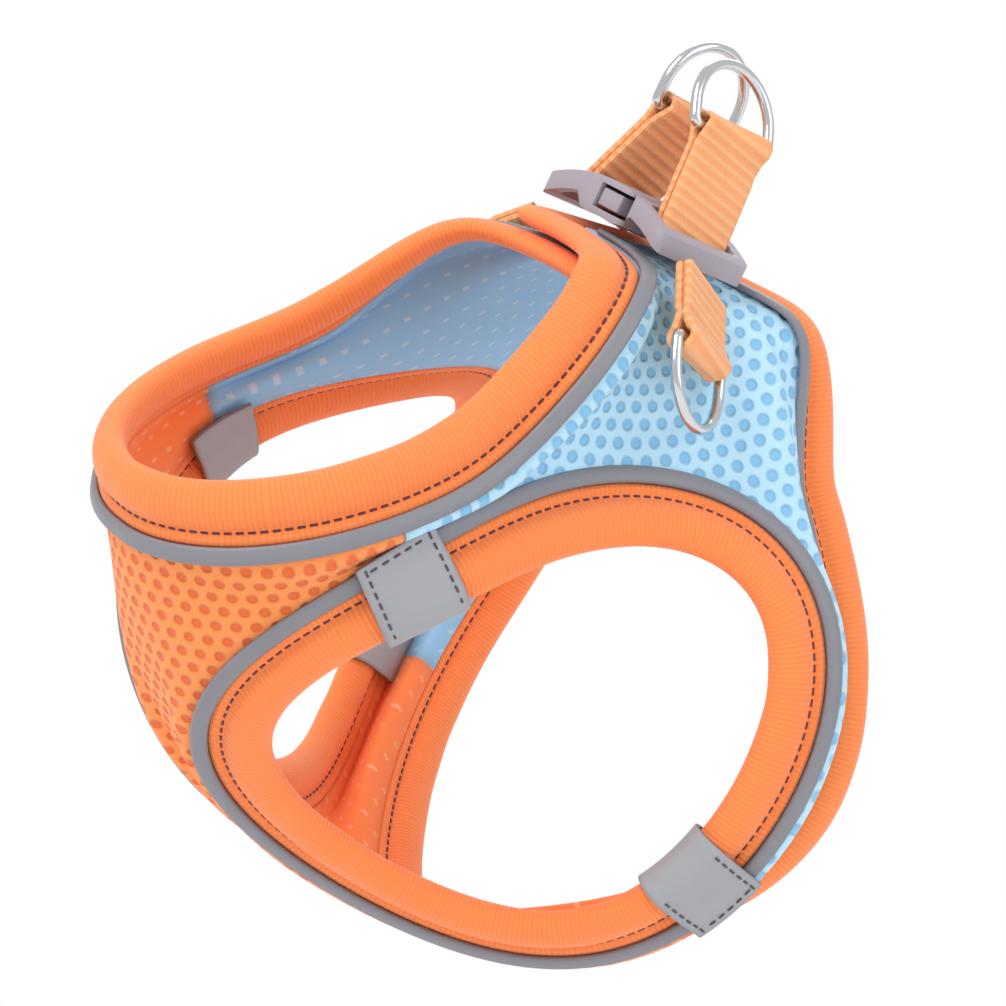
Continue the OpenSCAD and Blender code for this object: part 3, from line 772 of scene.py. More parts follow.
def grid_faces(ni: int, nj: int, ring_i: bool, ring_j: bool) -> Array:
    """Corner indices of a grid's cells.

    Args:
        ni: Rows.
        nj: Columns.
        ring_i: True if the last row joins the first.
        ring_j: True if the last column joins the first.

    Returns:
        One row of four indices per cell.
    """
    rows, columns = ni if ring_i else ni - 1, nj if ring_j else nj - 1
    i, j = np.meshgrid(np.arange(rows), np.arange(columns), indexing="ij")
    i, j = i.ravel(), j.ravel()
    i1, j1 = (i + 1) % ni, (j + 1) % nj
    return np.stack([i * nj + j, i * nj + j1, i1 * nj + j1, i1 * nj + j], -1)


def sweep(name: str, frames: Frames, section: Array, ring: bool = False) -> bpy.types.Object:
    """Carries a closed section along frames and caps its ends.

    Args:
        name: The piece's name.
        frames: Points, normals and directions into the fabric.
        section: Places [into the fabric, outwards], one list for all frames or one per frame.
        ring: True if the last frame joins the first.

    Returns:
        The closed piece, with fabric coordinates along and round it.
    """
    p, n, f = frames
    sec = np.broadcast_to(section, (len(p), *np.shape(section)[-2:]))
    verts = p[:, None] + f[:, None] * sec[..., :1] + n[:, None] * sec[..., 1:]
    ni, nj = verts.shape[:2]
    faces = grid_faces(ni, nj, ring, True)
    u = run_length(p)
    u = np.r_[u, u[-1] + np.linalg.norm(p[0] - p[-1])]
    v = run_length(np.vstack([sec[0], sec[0][:1]]))
    i, j = faces[:, 0] // nj, faces[:, 0] % nj
    uv = np.stack([np.stack([u[i + a], v[j + b]], -1) for a, b in ((0, 0), (0, 1), (1, 1), (1, 0))], 1)
    flat = verts.reshape(-1, 3)
    if signed_volume(flat, faces) < 0:
        faces, uv = faces[:, ::-1], uv[:, ::-1]
    obj = new_object(name, flat, faces, uv * MM)
    if not ring:
        cap_ends(obj)
    return obj


def cap_ends(obj: bpy.types.Object) -> None:
    """Closes the two open ends of a swept piece, with sharp rims.

    Args:
        obj: The piece.
    """
    bm = bmesh.new()
    bm.from_mesh(obj.data)
    bm.verts.ensure_lookup_table()
    edges = [e for e in bm.edges if len(e.link_faces) == 1]
    bmesh.ops.holes_fill(bm, edges=edges, sides=0)
    for e in edges:
        e.smooth = False
    bmesh.ops.recalc_face_normals(bm, faces=bm.faces)
    bm.to_mesh(obj.data)
    bm.free()


def thick_sheet(name: str, grids: list[Array], thickness: float, outward: Array) -> bpy.types.Object:
    """A cloth of even thickness from grids of places on its middle, flattened for its pattern.

    Args:
        name: The piece's name.
        grids: Grids of places; where their borders meet they are joined.
        thickness: The cloth's thickness.
        outward: A point inside the object, that the outer face looks away from.

    Returns:
        The piece: its outer face has material 0 and its inner face and rim material 1.
    """
    verts = np.vstack([g.reshape(-1, 3) for g in grids])
    faces, start = [], 0
    for g in grids:
        faces.append(grid_faces(g.shape[0], g.shape[1], False, False) + start)
        start += g.shape[0] * g.shape[1]
    for i, f in enumerate(faces):
        v = verts[f]
        n = np.cross(v[:, 2] - v[:, 0], v[:, 3] - v[:, 1])
        if np.einsum("ij,ij->", n, v.mean(1) - outward) < 0:
            faces[i] = f[:, ::-1]
    obj = new_object(name, verts, np.vstack(faces))
    bpy.ops.object.select_all(action="DESELECT")
    bpy.context.view_layer.objects.active = obj
    obj.select_set(True)
    bpy.ops.object.mode_set(mode="EDIT")
    bpy.ops.mesh.select_all(action="SELECT")
    bpy.ops.mesh.remove_doubles(threshold=0.00003)
    bpy.ops.uv.unwrap(method="ANGLE_BASED", margin=0)
    bpy.ops.object.mode_set(mode="OBJECT")
    obj.select_set(False)
    layer = obj.data.uv_layers[0]
    layer.name = "Fabric"
    uv = np.zeros(len(obj.data.loops) * 2, np.float32)
    layer.data.foreach_get("uv", uv)
    layer.data.foreach_set("uv", uv * pattern_scale(obj.data, uv.reshape(-1, 2)))
    solid = obj.modifiers.new("Thickness", "SOLIDIFY")
    solid.thickness = thickness * MM
    solid.offset = 0
    solid.use_even_offset = False
    solid.material_offset = 1
    solid.material_offset_rim = 1
    for _ in range(2):
        obj.data.materials.append(None)
    apply_modifiers(obj)
    obj.data.shade_smooth()
    return obj


def pattern_scale(mesh: bpy.types.Mesh, uv: Array) -> float:
    """Scale that makes a flattened cloth's pattern as large as the cloth.

    Args:
        mesh: The open cloth.
        uv: Its flattened corners.

    Returns:
        The factor for the flattened corners, so that they are in metres.
    """
    co = np.zeros(len(mesh.vertices) * 3, np.float32)
    mesh.vertices.foreach_get("co", co)
    corner = np.zeros(len(mesh.loops), np.int32)
    mesh.loops.foreach_get("vertex_index", corner)
    first = np.array([q.loop_start for q in mesh.polygons])
    count = np.array([q.loop_total for q in mesh.polygons])
    nxt = np.arange(len(corner)) + 1
    nxt[first + count - 1] = first
    p = co.reshape(-1, 3)[corner]
    cloth = np.linalg.norm(p - p[nxt], axis=1).sum()
    flat = np.linalg.norm(uv - uv[nxt], axis=1).sum()
    return float(cloth / max(flat, 1e-9))


def apply_modifiers(obj: bpy.types.Object) -> None:
    """Replaces the object's mesh with what its modifiers make of it.

    Args:
        obj: The piece, whose modifiers are cleared.
    """
    graph = bpy.context.evaluated_depsgraph_get()
    done = bpy.data.meshes.new_from_object(obj.evaluated_get(graph))
    obj.modifiers.clear()
    old = obj.data
    obj.data = done
    bpy.data.meshes.remove(old)


def stitches(name: str, places: Array, along: Array, up: Array, length: float,
             width: float) -> bpy.types.Object:
    """Rows of short thread stitches as one piece.

    Args:
        name: The piece's name.
        places: Middle of each stitch.
        along: Direction of each stitch.
        up: Outward direction at each stitch.
        length: Length of one stitch.
        width: Thickness of the thread.

    Returns:
        The piece, with 24 faces per stitch.
    """
    t = np.array([-1, -0.75, 0.75, 1])
    r = np.array([0.25, 1, 1, 0.25])
    a = np.arange(6) * np.pi / 3
    out = unit(up - along * dot(up, along))
    side = np.cross(along, out)
    places, along, out, side = (v[:, None, None] for v in (places, along, out, side))
    ring = out * np.cos(a)[:, None] + side * np.sin(a)[:, None]
    reach, radius = (v[:, None, None] for v in (t * length / 2, r * width / 2))
    verts = (places + along * reach + ring * radius).reshape(-1, 3)
    one = grid_faces(4, 6, False, True)
    caps = np.array([[0, 1, 2, 3], [0, 3, 4, 5], [21, 20, 19, 18], [23, 22, 21, 18]])
    one = np.vstack([one, caps])
    faces = (one[None] + (np.arange(len(places)) * 24)[:, None, None]).reshape(-1, 4)
    if signed_volume(verts[:24], one) < 0:
        faces = faces[:, ::-1]
    return new_object(name, verts, faces)


def beads_along(frames: Frames, gap: float, q: tuple[float, float]) -> tuple[Array, Array, Array]:
    """Evenly spaced places beside a path.

    Args:
        frames: The path.
        gap: Distance between places.
        q: Offset [into the fabric, outwards].

    Returns:
        Places, directions along the path and outward normals.
    """
    p, n, f = frames
    line = p + f * q[0] + n * q[1]
    s = run_length(line)
    at = np.arange(gap / 2, s[-1], gap)
    spots = np.stack([np.interp(at, s, line[:, i]) for i in range(3)], -1)
    normals = np.stack([np.interp(at, s, n[:, i]) for i in range(3)], -1)
    ahead = np.stack([np.interp(at + 0.2, s, line[:, i]) for i in range(3)], -1)
    behind = np.stack([np.interp(at - 0.2, s, line[:, i]) for i in range(3)], -1)
    return spots, unit(ahead - behind), unit(normals)


# ---- Materials ----


def linear(code: str) -> tuple[float, float, float, float]:
    """Turns an sRGB hex colour into Blender's linear one.

    Args:
        code: Six hex digits with a leading #.

    Returns:
        Linear red, green, blue and an alpha of 1.
    """
    c = [int(code[i:i + 2], 16) / 255 for i in (1, 3, 5)]
    return (*[v / 12.92 if v <= 0.04045 else ((v + 0.055) / 1.055) ** 2.4 for v in c], 1.0)


class Shader:
    """A material under construction; one method adds every node."""

    def __init__(self, name: str) -> None:
        """Starts an empty material.

        Args:
            name: The material's name.
        """
        self.material = bpy.data.materials.new(name)
        self.material.use_nodes = True
        self.tree = self.material.node_tree
        self.tree.nodes.clear()

    def add(self, kind: str, *inputs: object, out: int | str = 0, at: dict | None = None,
            **settings: object) -> bpy.types.NodeSocket | None:
        """Adds one node with its settings and links.

        Args:
            kind: The node's type without its ShaderNode prefix.
            *inputs: Values, or other nodes' outputs, for its first sockets in order.
            out: The wanted output.
            at: Values or outputs for sockets given by name or number.
            **settings: The node's own properties.

        Returns:
            The wanted output, or None from a node that has none.
        """
        node = self.tree.nodes.new("ShaderNode" + kind)
        for key, value in settings.items():
            setattr(node, key, value)
        for key, value in [*enumerate(inputs), *(at or {}).items()]:
            if isinstance(value, bpy.types.NodeSocket):
                self.tree.links.new(value, node.inputs[key])
            else:
                node.inputs[key].default_value = value
        return node.outputs[out] if len(node.outputs) else None

    def finish(self, **principled: object) -> bpy.types.Material:
        """Adds the surface and the output.

        Args:
            **principled: Socket names, with _ for a space, to values or outputs.

        Returns:
            The finished material.
        """
        names = {key.replace("_", " "): value for key, value in principled.items()}
        self.add("OutputMaterial", self.add("BsdfPrincipled", at=names))
        return self.material


# Rows of a pattern whose cells form equal triangles lie this share of the pitch apart.
TRIANGLE_ROW = 0.866


def from_middle(s: Shader, pitch: float, row_share: float) -> list[bpy.types.NodeSocket]:
    """Distances from the middle of a pattern's cell, whose odd rows are moved half a cell along.

    Args:
        s: The material.
        pitch: Width of a cell.
        row_share: Height of a row as a share of the width.

    Returns:
        Distance along u in cell widths and along v in row heights.
    """
    uv = s.add("UVMap", uv_map="Fabric")
    u, v = (s.add("Math", s.add("SeparateXYZ", uv, out=axis), size * MM, operation="DIVIDE")
            for axis, size in enumerate((pitch, pitch * row_share)))
    row = s.add("Math", s.add("Math", v, operation="FLOOR"), operation="ABSOLUTE")
    odd = s.add("Math", row, 2.0, operation="MODULO")
    shifted = s.add("Math", u, s.add("Math", odd, 0.5, operation="MULTIPLY"), operation="ADD")
    shares = [s.add("Math", d, operation="FRACT") for d in (shifted, v)]
    return [s.add("Math", share, 0.5, operation="SUBTRACT") for share in shares]


@dataclass(frozen=True)
class AirMesh:
    """Outer face of knitted polyester spacer mesh: matt, with round holes in offset rows, coloured darker:
    partly the inner layer seen through them, partly painted shade in the recess.
    """

    name: str
    base: str
    # Colour of the holes: the inner layer seen through them, darkened with painted shade; random patches of
    # tone on the cloth also lean to it.
    hole: str
    radius: float = 0.9
    pitch: float = 3.4
    soft_edge: float = 0.35
    depth: float = 0.5
    thread_depth: float = 0.15
    patch_scale: float = 60.0  # patches of tone about 17 mm wide
    thread_scale: float = 2600.0  # thread ends about 0.4 mm apart
    patch_share: float = 0.22

    def build(self) -> bpy.types.Material:
        """Makes the material: each cell's distance from the middle of its round opening gives opening or
        cloth; the openings take the darker colour, which carries painted shade.

        Returns:
            The material, whose pattern follows the Fabric map.
        """
        s = Shader(self.name)
        du, dv = from_middle(s, self.pitch, TRIANGLE_ROW)
        dv = s.add("Math", dv, TRIANGLE_ROW, operation="MULTIPLY")
        square = [s.add("Math", d, d, operation="MULTIPLY") for d in (du, dv)]
        far = s.add("Math", s.add("Math", *square, operation="ADD"), operation="SQRT")
        low, high = ((self.radius + d) / self.pitch for d in (-self.soft_edge, self.soft_edge))
        solid = s.add("MapRange", far, low, high, interpolation_type="SMOOTHSTEP")
        place = s.add("TexCoord", out="Object")
        tone = s.add("TexNoise", at={"Vector": place, "Scale": self.patch_scale, "Detail": 3.0})
        thread = s.add("TexNoise", at={"Vector": place, "Scale": self.thread_scale, "Detail": 2.0})
        share = s.add("Math", tone, self.patch_share, operation="MULTIPLY")
        cloth = s.add("Mix", share, at={6: linear(self.base), 7: linear(self.hole)}, data_type="RGBA", out=2)
        # Painted shade: the holes take the darker colour, which also stands for the inner layer seen through
        # them.
        colour = s.add("Mix", solid, at={6: linear(self.hole), 7: cloth}, data_type="RGBA", out=2)
        dip = s.add("Bump", at={"Strength": 0.9, "Distance": self.depth * MM, "Height": solid})
        grain = s.add("Bump", at={"Strength": 0.25, "Distance": self.thread_depth * MM, "Height": thread,
                                  "Normal": dip})
        return s.finish(Base_Color=colour, Roughness=0.85, Sheen_Weight=0.15, Normal=grain)


@dataclass(frozen=True)
class LiningMesh:
    """Inner face of the same spacer mesh: smooth and matt, with short pale slots in rows."""

    name: str
    base: str
    mark: str = "#E4EEF4"
    pitch: float = 4.2
    row_share: float = 0.8
    slot_slimness: float = 0.55
    slot_half: float = 0.05
    slot_fade: float = 0.11
    mark_share: float = 0.45
    thread_depth: float = 0.12
    thread_scale: float = 2200.0  # thread ends about 0.5 mm apart

    def build(self) -> bpy.types.Material:
        """Makes the material: near a cell's middle, along a flat oval, lies a pale slot.

        Returns:
            The material, whose pattern follows the Fabric map.
        """
        s = Shader(self.name)
        du, dv = (s.add("Math", d, operation="ABSOLUTE") for d in from_middle(s, self.pitch, self.row_share))
        du = s.add("Math", du, self.slot_slimness, operation="MULTIPLY")
        slot = s.add("Math", du, dv, operation="MAXIMUM")
        off = s.add("MapRange", slot, self.slot_half, self.slot_fade, interpolation_type="SMOOTHSTEP")
        mark = s.add("Math", 1.0, off, operation="SUBTRACT")
        share = s.add("Math", mark, self.mark_share, operation="MULTIPLY")
        colour = s.add("Mix", share, at={6: linear(self.base), 7: linear(self.mark)}, data_type="RGBA", out=2)
        place = s.add("TexCoord", out="Object")
        thread = s.add("TexNoise", at={"Vector": place, "Scale": self.thread_scale, "Detail": 2.0})
        grain = s.add("Bump", at={"Strength": 0.25, "Distance": self.thread_depth * MM, "Height": thread})
        return s.finish(Base_Color=colour, Roughness=0.8, Sheen_Weight=0.1, Normal=grain)


@dataclass(frozen=True)
class RibbedCloth:
    """Knitted or woven polyester with fine ribs square to the Fabric map's u: matt, softly sheened, with
    shade painted into the grooves between ribs.
    """

    name: str
    base: str
    shade: str
    rib: float
    depth: float
    roughness: float = 0.85
    sheen: float = 0.2
    thread: float = 0.55
    thread_share: float = 0.3
    # Share of the shade colour painted into the grooves between ribs: painted shade.
    groove_share: float = 0.45
    patch_share: float = 0.25
    patch_scale: float = 90.0  # patches of tone about 11 mm wide

    def build(self) -> bpy.types.Material:
        """Makes the material: ribs and threads are sine waves along u and v.

        Returns:
            The material, with painted shade darker in its grooves.
        """
        s = Shader(self.name)
        uv = s.add("UVMap", uv_map="Fabric")
        waves = []
        for axis, length in enumerate((self.rib, self.thread)):
            place = s.add("SeparateXYZ", uv, out=axis)
            phase = s.add("Math", place, 2 * math.pi / (length * MM), operation="MULTIPLY")
            raised = s.add("Math", s.add("Math", phase, operation="SINE"), 1.0, operation="ADD")
            waves.append(s.add("Math", raised, 0.5, operation="MULTIPLY"))
        wave, tooth = waves
        place = s.add("TexCoord", out="Object")
        tone = s.add("TexNoise", at={"Vector": place, "Scale": self.patch_scale, "Detail": 4.0})
        small = s.add("Math", tooth, self.thread_share, operation="MULTIPLY")
        height = s.add("Math", wave, small, operation="ADD")
        # Painted shade: the grooves between ribs lean towards the shade colour.
        groove = s.add("Math", 1.0, wave, operation="SUBTRACT")
        groove = s.add("Math", groove, self.groove_share, operation="MULTIPLY")
        patch = s.add("Math", tone, self.patch_share, operation="MULTIPLY")
        share = s.add("Math", groove, patch, operation="ADD")
        colour = s.add("Mix", share, at={6: linear(self.base), 7: linear(self.shade)},
                       data_type="RGBA", out=2)
        bump = s.add("Bump", at={"Strength": 0.8, "Distance": self.depth * MM, "Height": height})
        return s.finish(Base_Color=colour, Roughness=self.roughness, Sheen_Weight=self.sheen, Normal=bump)


@dataclass(frozen=True)
class Grained:
    """Even material with a fine grain, such as coated tape, moulded plastic, wire or thread."""

    name: str
    base: str
    roughness: float
    metallic: float = 0.0
    grain: float = 0.03
    scale: float = 1500.0  # grains about 0.7 mm apart, as coarse as they need to be to show
    sheen: float = 0.0
    patch_scale: float = 80.0  # patches of tone about 12 mm wide
    patch_share: float = 0.5
    shade: float = 0.86

    def build(self) -> bpy.types.Material:
        """Makes the material: noise on Object coordinates gives grain and patches of tone.

        Returns:
            The material.
        """
        s = Shader(self.name)
        place = s.add("TexCoord", out="Object")
        noise = s.add("TexNoise", at={"Vector": place, "Scale": self.scale, "Detail": 2.0})
        tone = s.add("TexNoise", at={"Vector": place, "Scale": self.patch_scale, "Detail": 3.0})
        base = linear(self.base)
        dark = (*(self.shade * c for c in base[:3]), 1.0)
        share = s.add("Math", tone, self.patch_share, operation="MULTIPLY")
        colour = s.add("Mix", share, at={6: base, 7: dark}, data_type="RGBA", out=2)
        bump = s.add("Bump", at={"Strength": 0.5, "Distance": self.grain * MM, "Height": noise})
        return s.finish(Base_Color=colour, Roughness=self.roughness, Metallic=self.metallic,
                        Sheen_Weight=self.sheen, Normal=bump)


class Finishes:
    """Every material of the object, made once."""

    def __init__(self) -> None:
        """Builds the materials."""
        # Each air mesh's second colour is that of its holes: the inner layer seen through them, darkened with
        # painted shade.
        self.blue = AirMesh("BlueMesh", "#BDE6FB", "#82C3EE").build()
        self.orange = AirMesh("OrangeMesh", "#FF9A55", "#EE6A2C", radius=0.85).build()
        self.blue_lining = LiningMesh("BlueLining", "#93CCF2").build()
        self.orange_lining = LiningMesh("OrangeLining", "#FF8A4A", "#FFD0AC").build()
        # Stretch knit over a soft roll: fine ribs across it, matt, with shade painted into the grooves
        # between ribs.
        self.knit = RibbedCloth("RibbedKnit", "#FF9350", "#FA7434", rib=0.85, depth=0.1).build()
        # Glass-beaded reflective tape: grey, with a soft broad shine.
        self.piping = Grained("ReflectivePiping", "#85858D", 0.42, grain=0.06, scale=900.0).build()
        self.tab = Grained("ReflectiveTab", "#A2A4A9", 0.5, grain=0.08, scale=1100.0).build()
        self.tab_back = Grained("TabBack", "#857A80", 0.75, grain=0.08).build()
        # Woven polyester webbing: bold ribs across it, a little shine on their tops, with shade painted into
        # the grooves between them.
        self.webbing = RibbedCloth("Webbing", "#FFBE84", "#F98F4A", rib=1.9, depth=0.4, roughness=0.7).build()
        # Moulded acetal: satin.
        self.plastic = Grained("MauvePlastic", "#A69FAA", 0.42, grain=0.02, scale=2200.0).build()
        # Nickel-plated steel wire: bright, nearly a mirror.
        self.steel = Grained("Steel", "#D4D6DA", 0.16, metallic=1.0, grain=0.0).build()
        # Hook and loop tape: matt and fuzzy.
        self.tape = Grained("Tape", "#E2E6EA", 0.9, grain=0.35, scale=1600.0, sheen=0.3).build()
        # Spun sewing thread: matt.
        self.dark_thread = Grained("DarkThread", "#5B2A3A", 0.7, sheen=0.3).build()
        self.grey_thread = Grained("GreyThread", "#4A4850", 0.7, sheen=0.3).build()


def dress(obj: bpy.types.Object, *materials: bpy.types.Material) -> bpy.types.Object:
    """Gives the object its materials, in order.

    Args:
        obj: The piece.
        *materials: Its materials.

    Returns:
        The same object.
    """
    kept = [p.material_index for p in obj.data.polygons]
    obj.data.materials.clear()
    for m in materials:
        obj.data.materials.append(m)
    obj.data.polygons.foreach_set("material_index", np.minimum(kept, len(materials) - 1).astype(np.int32))
    return obj


# ---- Sub-assemblies ----


@dataclass
class Panels:
    """The air-mesh panels: one body panel per side, and the chest panel across the mid-plane."""

    form: VestForm
    finish: Finishes

    def shares(self, n: int) -> Array:
        """Column shares: the two straight bands and n cells between.

        Args:
            n: Places between the two bands.

        Returns:
            Rising shares from 0 to 1.
        """
        f = self.form
        return np.r_[np.linspace(0, f.leg_side, 3)[:-1], np.linspace(f.leg_side, f.edge_side, n),
                     np.linspace(f.edge_side, 1, 3)[1:]]

    def build(self) -> None:
        """Makes the three panels."""
        f = self.form
        inside = np.array([5.0, 0, 5])
        ks = np.r_[np.linspace(f.shoulder_at, f.neck_last, 34), np.linspace(f.neck_last, 1, 4)[1:],
                   np.linspace(1, 2, 14)[1:],
                   np.linspace(2, f.rear_first, 4)[1:], np.linspace(f.rear_first, f.belly_at, 34)[1:]]
        for side in Side:
            grid = f.mesh_grid(ks, self.shares(26), side)
            obj = thick_sheet(f"body_panel_{side.word}", [grid], f.mesh_t, inside)
            dress(obj, self.finish.blue, self.finish.blue_lining)
            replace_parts(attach(obj, side.body), f"body_panel_{side.word}")
            declare_cloth(obj)
        ks = np.r_[np.linspace(f.belly_at, 3, 22), np.linspace(3.02, 3.98, 28),
                   np.linspace(0, f.shoulder_at, 16)]
        grids = [f.mesh_grid(ks, self.shares(20), side) for side in Side]
        obj = thick_sheet("chest_panel", grids, f.mesh_t, inside)
        dress(obj, self.finish.orange, self.finish.orange_lining)
        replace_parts(obj, "chest_panel_left", "chest_panel_right")
        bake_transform(obj)
        declare_cloth(obj)


def flat_size(mesh: bpy.types.Mesh) -> tuple[float, float]:
    """Width and length of the smallest rectangle round a cloth's flattened pattern.

    Args:
        mesh: The cloth, whose Fabric map is its pattern in metres.

    Returns:
        Width and length.
    """
    uv = np.zeros(len(mesh.loops) * 2, np.float32)
    mesh.uv_layers["Fabric"].data.foreach_get("uv", uv)
    u, v = uv.reshape(-1, 2, 1).transpose(1, 0, 2)
    turn = np.arange(90)[None]
    w = np.ptp(u * cosd(turn) + v * sind(turn), axis=0)
    l = np.ptp(v * cosd(turn) - u * sind(turn), axis=0)
    best = int(np.argmin(w * l))
    return float(min(w[best], l[best])), float(max(w[best], l[best]))


def declare_cloth(obj: bpy.types.Object) -> None:
    """Logs a thick cloth's size: the rectangle round its measured pattern and its cloth area.

    Args:
        obj: The cloth.
    """
    area = sum(p.area for p in obj.data.polygons if p.material_index == 0)
    flat = flat_size(obj.data)
    sizes = (flat[0] / MM, flat[1] / MM, area * 1e4)
    LOG.info("%s: pattern %.1f x %.1f mm, cloth %.1f square cm", obj.name, *sizes)


@dataclass
class Bindings:
    """Padded rolls with their stitched grooves and lips, and the reflective piping beside them."""

    form: VestForm
    finish: Finishes
    gap: float = 0.5
    lower_neck: float = 26
    lower_rear: float = 24
    stitch_gap: float = 1.9
    stitch_length: float = 1.45
    stitch_level: float = 0.62
    stitch_inset: float = 0.25
    thread: float = 0.5
    pucker: float = 0.02

    def section(self) -> Array:
        """Outline of a roll with a groove and a flat lip, as [into the fabric, outwards].

        Returns:
            The outline, anticlockwise from the lip.
        """
        f = self.form
        a = np.linspace(32, 328, 22)
        roll = np.stack([f.roll_w / 2 * cosd(a), f.roll_t / 2 * sind(a)], -1)
        g, half, end = f.roll_w / 2, f.mesh_t / 2, f.roll_w / 2 + f.lip_w
        lower = np.array([[g - 0.1, -0.75], [g + 0.5, -0.7], [g + 0.9, -half], [end - 0.3, -half],
                          [end, -half + 0.35]])
        return np.vstack([roll, lower, lower[::-1] * np.array([1, -1])])

    def swollen(self, s: Array, squash: Array) -> Array:
        """Sections with soft puckers: the roll's radius times 1 + slow waves.

        Args:
            s: Distance of each frame from the nearest mid-line end of the binding.
            squash: Share of the roll's thickness kept at each frame.

        Returns:
            One section per frame.
        """
        sec = np.repeat(self.section()[None], len(s), 0)
        slow = 0.5 * np.sin(s / 2.9 + np.sin(s / 7.3)) + 0.5 * np.sin(s / 5.3 + 1.7 * np.sin(s / 17.0))
        around = np.arange(sec.shape[1])
        on_roll = np.clip(np.minimum(around, 21 - around) / 3 + 0.25, 0, 1) * (around < 22)
        grow = 1 - self.pucker + (self.pucker * slow)[:, None] * on_roll
        sec = sec * np.where(around < 22, grow, 1)[..., None]
        sec[..., 1] *= squash[:, None]
        return sec

    def build(self) -> None:
        """Makes rolls, threads and piping for both sides and the blended parts between."""
        f = self.form
        halves = {side: f.outer_path(side, self.gap) for side in Side}
        for side in Side:
            path = halves[side]
            s = run_length(path[0])
            at = np.arange(len(s))
            first, last = round(self.lower_neck / self.gap), len(s) - round(self.lower_rear / self.gap)
            upper = (at >= first) & (at < last)
            self.edge(f"outer_binding_{side.word}", tuple(v[upper] for v in path), side.body,
                      np.minimum(s, s[-1] - s)[upper])
            self.piping(f"outer_piping_{side.word}", path, s, upper, side)
            ring = f.leg_path(side, self.gap)
            turn = np.arange(len(ring[0])) / len(ring[0]) * 2 * np.pi
            waves = 15 * np.sin(2 * turn) + 11 * np.cos(3 * turn)
            self.edge(f"leg_binding_{side.word}", ring, side.body, waves, ring=True)
            pipe = sweep(f"leg_piping_{side.word}", ring, self.piping_section(), ring=True)
            dress(pipe, self.finish.piping)
            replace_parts(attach(pipe, side.body), f"leg_piping_{side.word}")
        left, right = halves[Side.LEFT], halves[Side.RIGHT]
        for name, n in (("throat", self.lower_neck), ("belly", self.lower_rear)):
            count = round(n / self.gap) + 1
            pick = slice(0, count) if name == "throat" else slice(-count, None)
            parts = [[v[pick] for v in path] for path in (left, right)]
            if name == "throat":
                joined = tuple(np.vstack([a[::-1], b[1:]]) for a, b in zip(*parts))
            else:
                joined = tuple(np.vstack([a, b[-2::-1]]) for a, b in zip(*parts))
            joined[0][:, 1] = np.where(np.abs(joined[0][:, 1]) < 0.16, 0, joined[0][:, 1])
            from_middle_line = np.abs(np.arange(len(joined[0])) - (count - 1)) * self.gap
            self.edge(f"outer_binding_{name}", joined, None, from_middle_line)
            pipe = sweep(f"outer_piping_{name}", joined, self.piping_section())
            dress(pipe, self.finish.piping)
            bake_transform(pipe)

    def piping_section(self) -> Array:
        """Outline of the flat piping with rounded edges.

        Returns:
            The outline as [into the fabric, outwards].
        """
        f = self.form
        low, high = f.mesh_t / 2 + 0.02, f.mesh_t / 2 + f.sewn_gap + f.piping_t
        a, b = f.inset - 0.3, f.inset + f.piping_w
        return np.array([[a, low], [b, low], [b + 0.05, high - 0.3], [b - 0.35, high], [a + 0.35, high],
                         [a - 0.05, high - 0.3]])

    def piping(self, name: str, path: Frames, s: Array, upper: Array, side: Side) -> None:
        """Makes one side's piping, which stops where the flaps' corners begin.

        Args:
            name: The pieces' name.
            path: The whole outer path.
            s: Distance along it.
            upper: Which frames belong to the rigid part.
            side: Which half.
        """
        on_flap = self.form.flap_share(mirrored(path[0], side)) > 0.999
        corner = np.where(on_flap & (path[0][:, 1] * side.value > 1.0))[0]
        stops = (upper & (np.arange(len(s)) < corner.min()), upper & (np.arange(len(s)) > corner.max()))
        for part, keep in zip(("neck", "rear"), stops):
            obj = sweep(f"{name}_{part}", tuple(v[keep] for v in path), self.piping_section())
            dress(obj, self.finish.piping)
            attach(obj, side.body)
            if part == "neck":
                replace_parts(obj, name)

    def edge(self, name: str, path: Frames, body: str | None, s: Array, ring: bool = False) -> None:
        """Makes one roll with its lip and threads.

        Args:
            name: The piece's name.
            path: Its frames.
            body: The CAD body it rides on, or None to leave it unattached, baked in place between the halves.
            s: Distance of each frame from the nearest mid-line end, for the puckers.
            ring: True for a closed roll.
        """
        f = self.form
        squash = 1 - (1 - f.flap_roll_keep) * f.flap_share(path[0])
        if ring:
            squash = np.ones(len(path[0]))
        roll = sweep(name, path, self.swollen(s, squash), ring=ring)
        dress(roll, self.finish.knit)
        pieces = [roll]
        for level, word in ((self.stitch_level, "out"), (-self.stitch_level, "in")):
            closed = tuple(np.vstack([v, v[:1]]) for v in path) if ring else path
            rows = beads_along(closed, self.stitch_gap, (f.roll_w / 2 + self.stitch_inset, level))
            row = stitches(f"{name}_thread_{word}", *rows, self.stitch_length, self.thread)
            dress(row, self.finish.dark_thread)
            pieces.append(row)
        for piece in pieces:
            if body:
                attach(piece, body)
            else:
                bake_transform(piece)
        if body:
            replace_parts(roll, name)


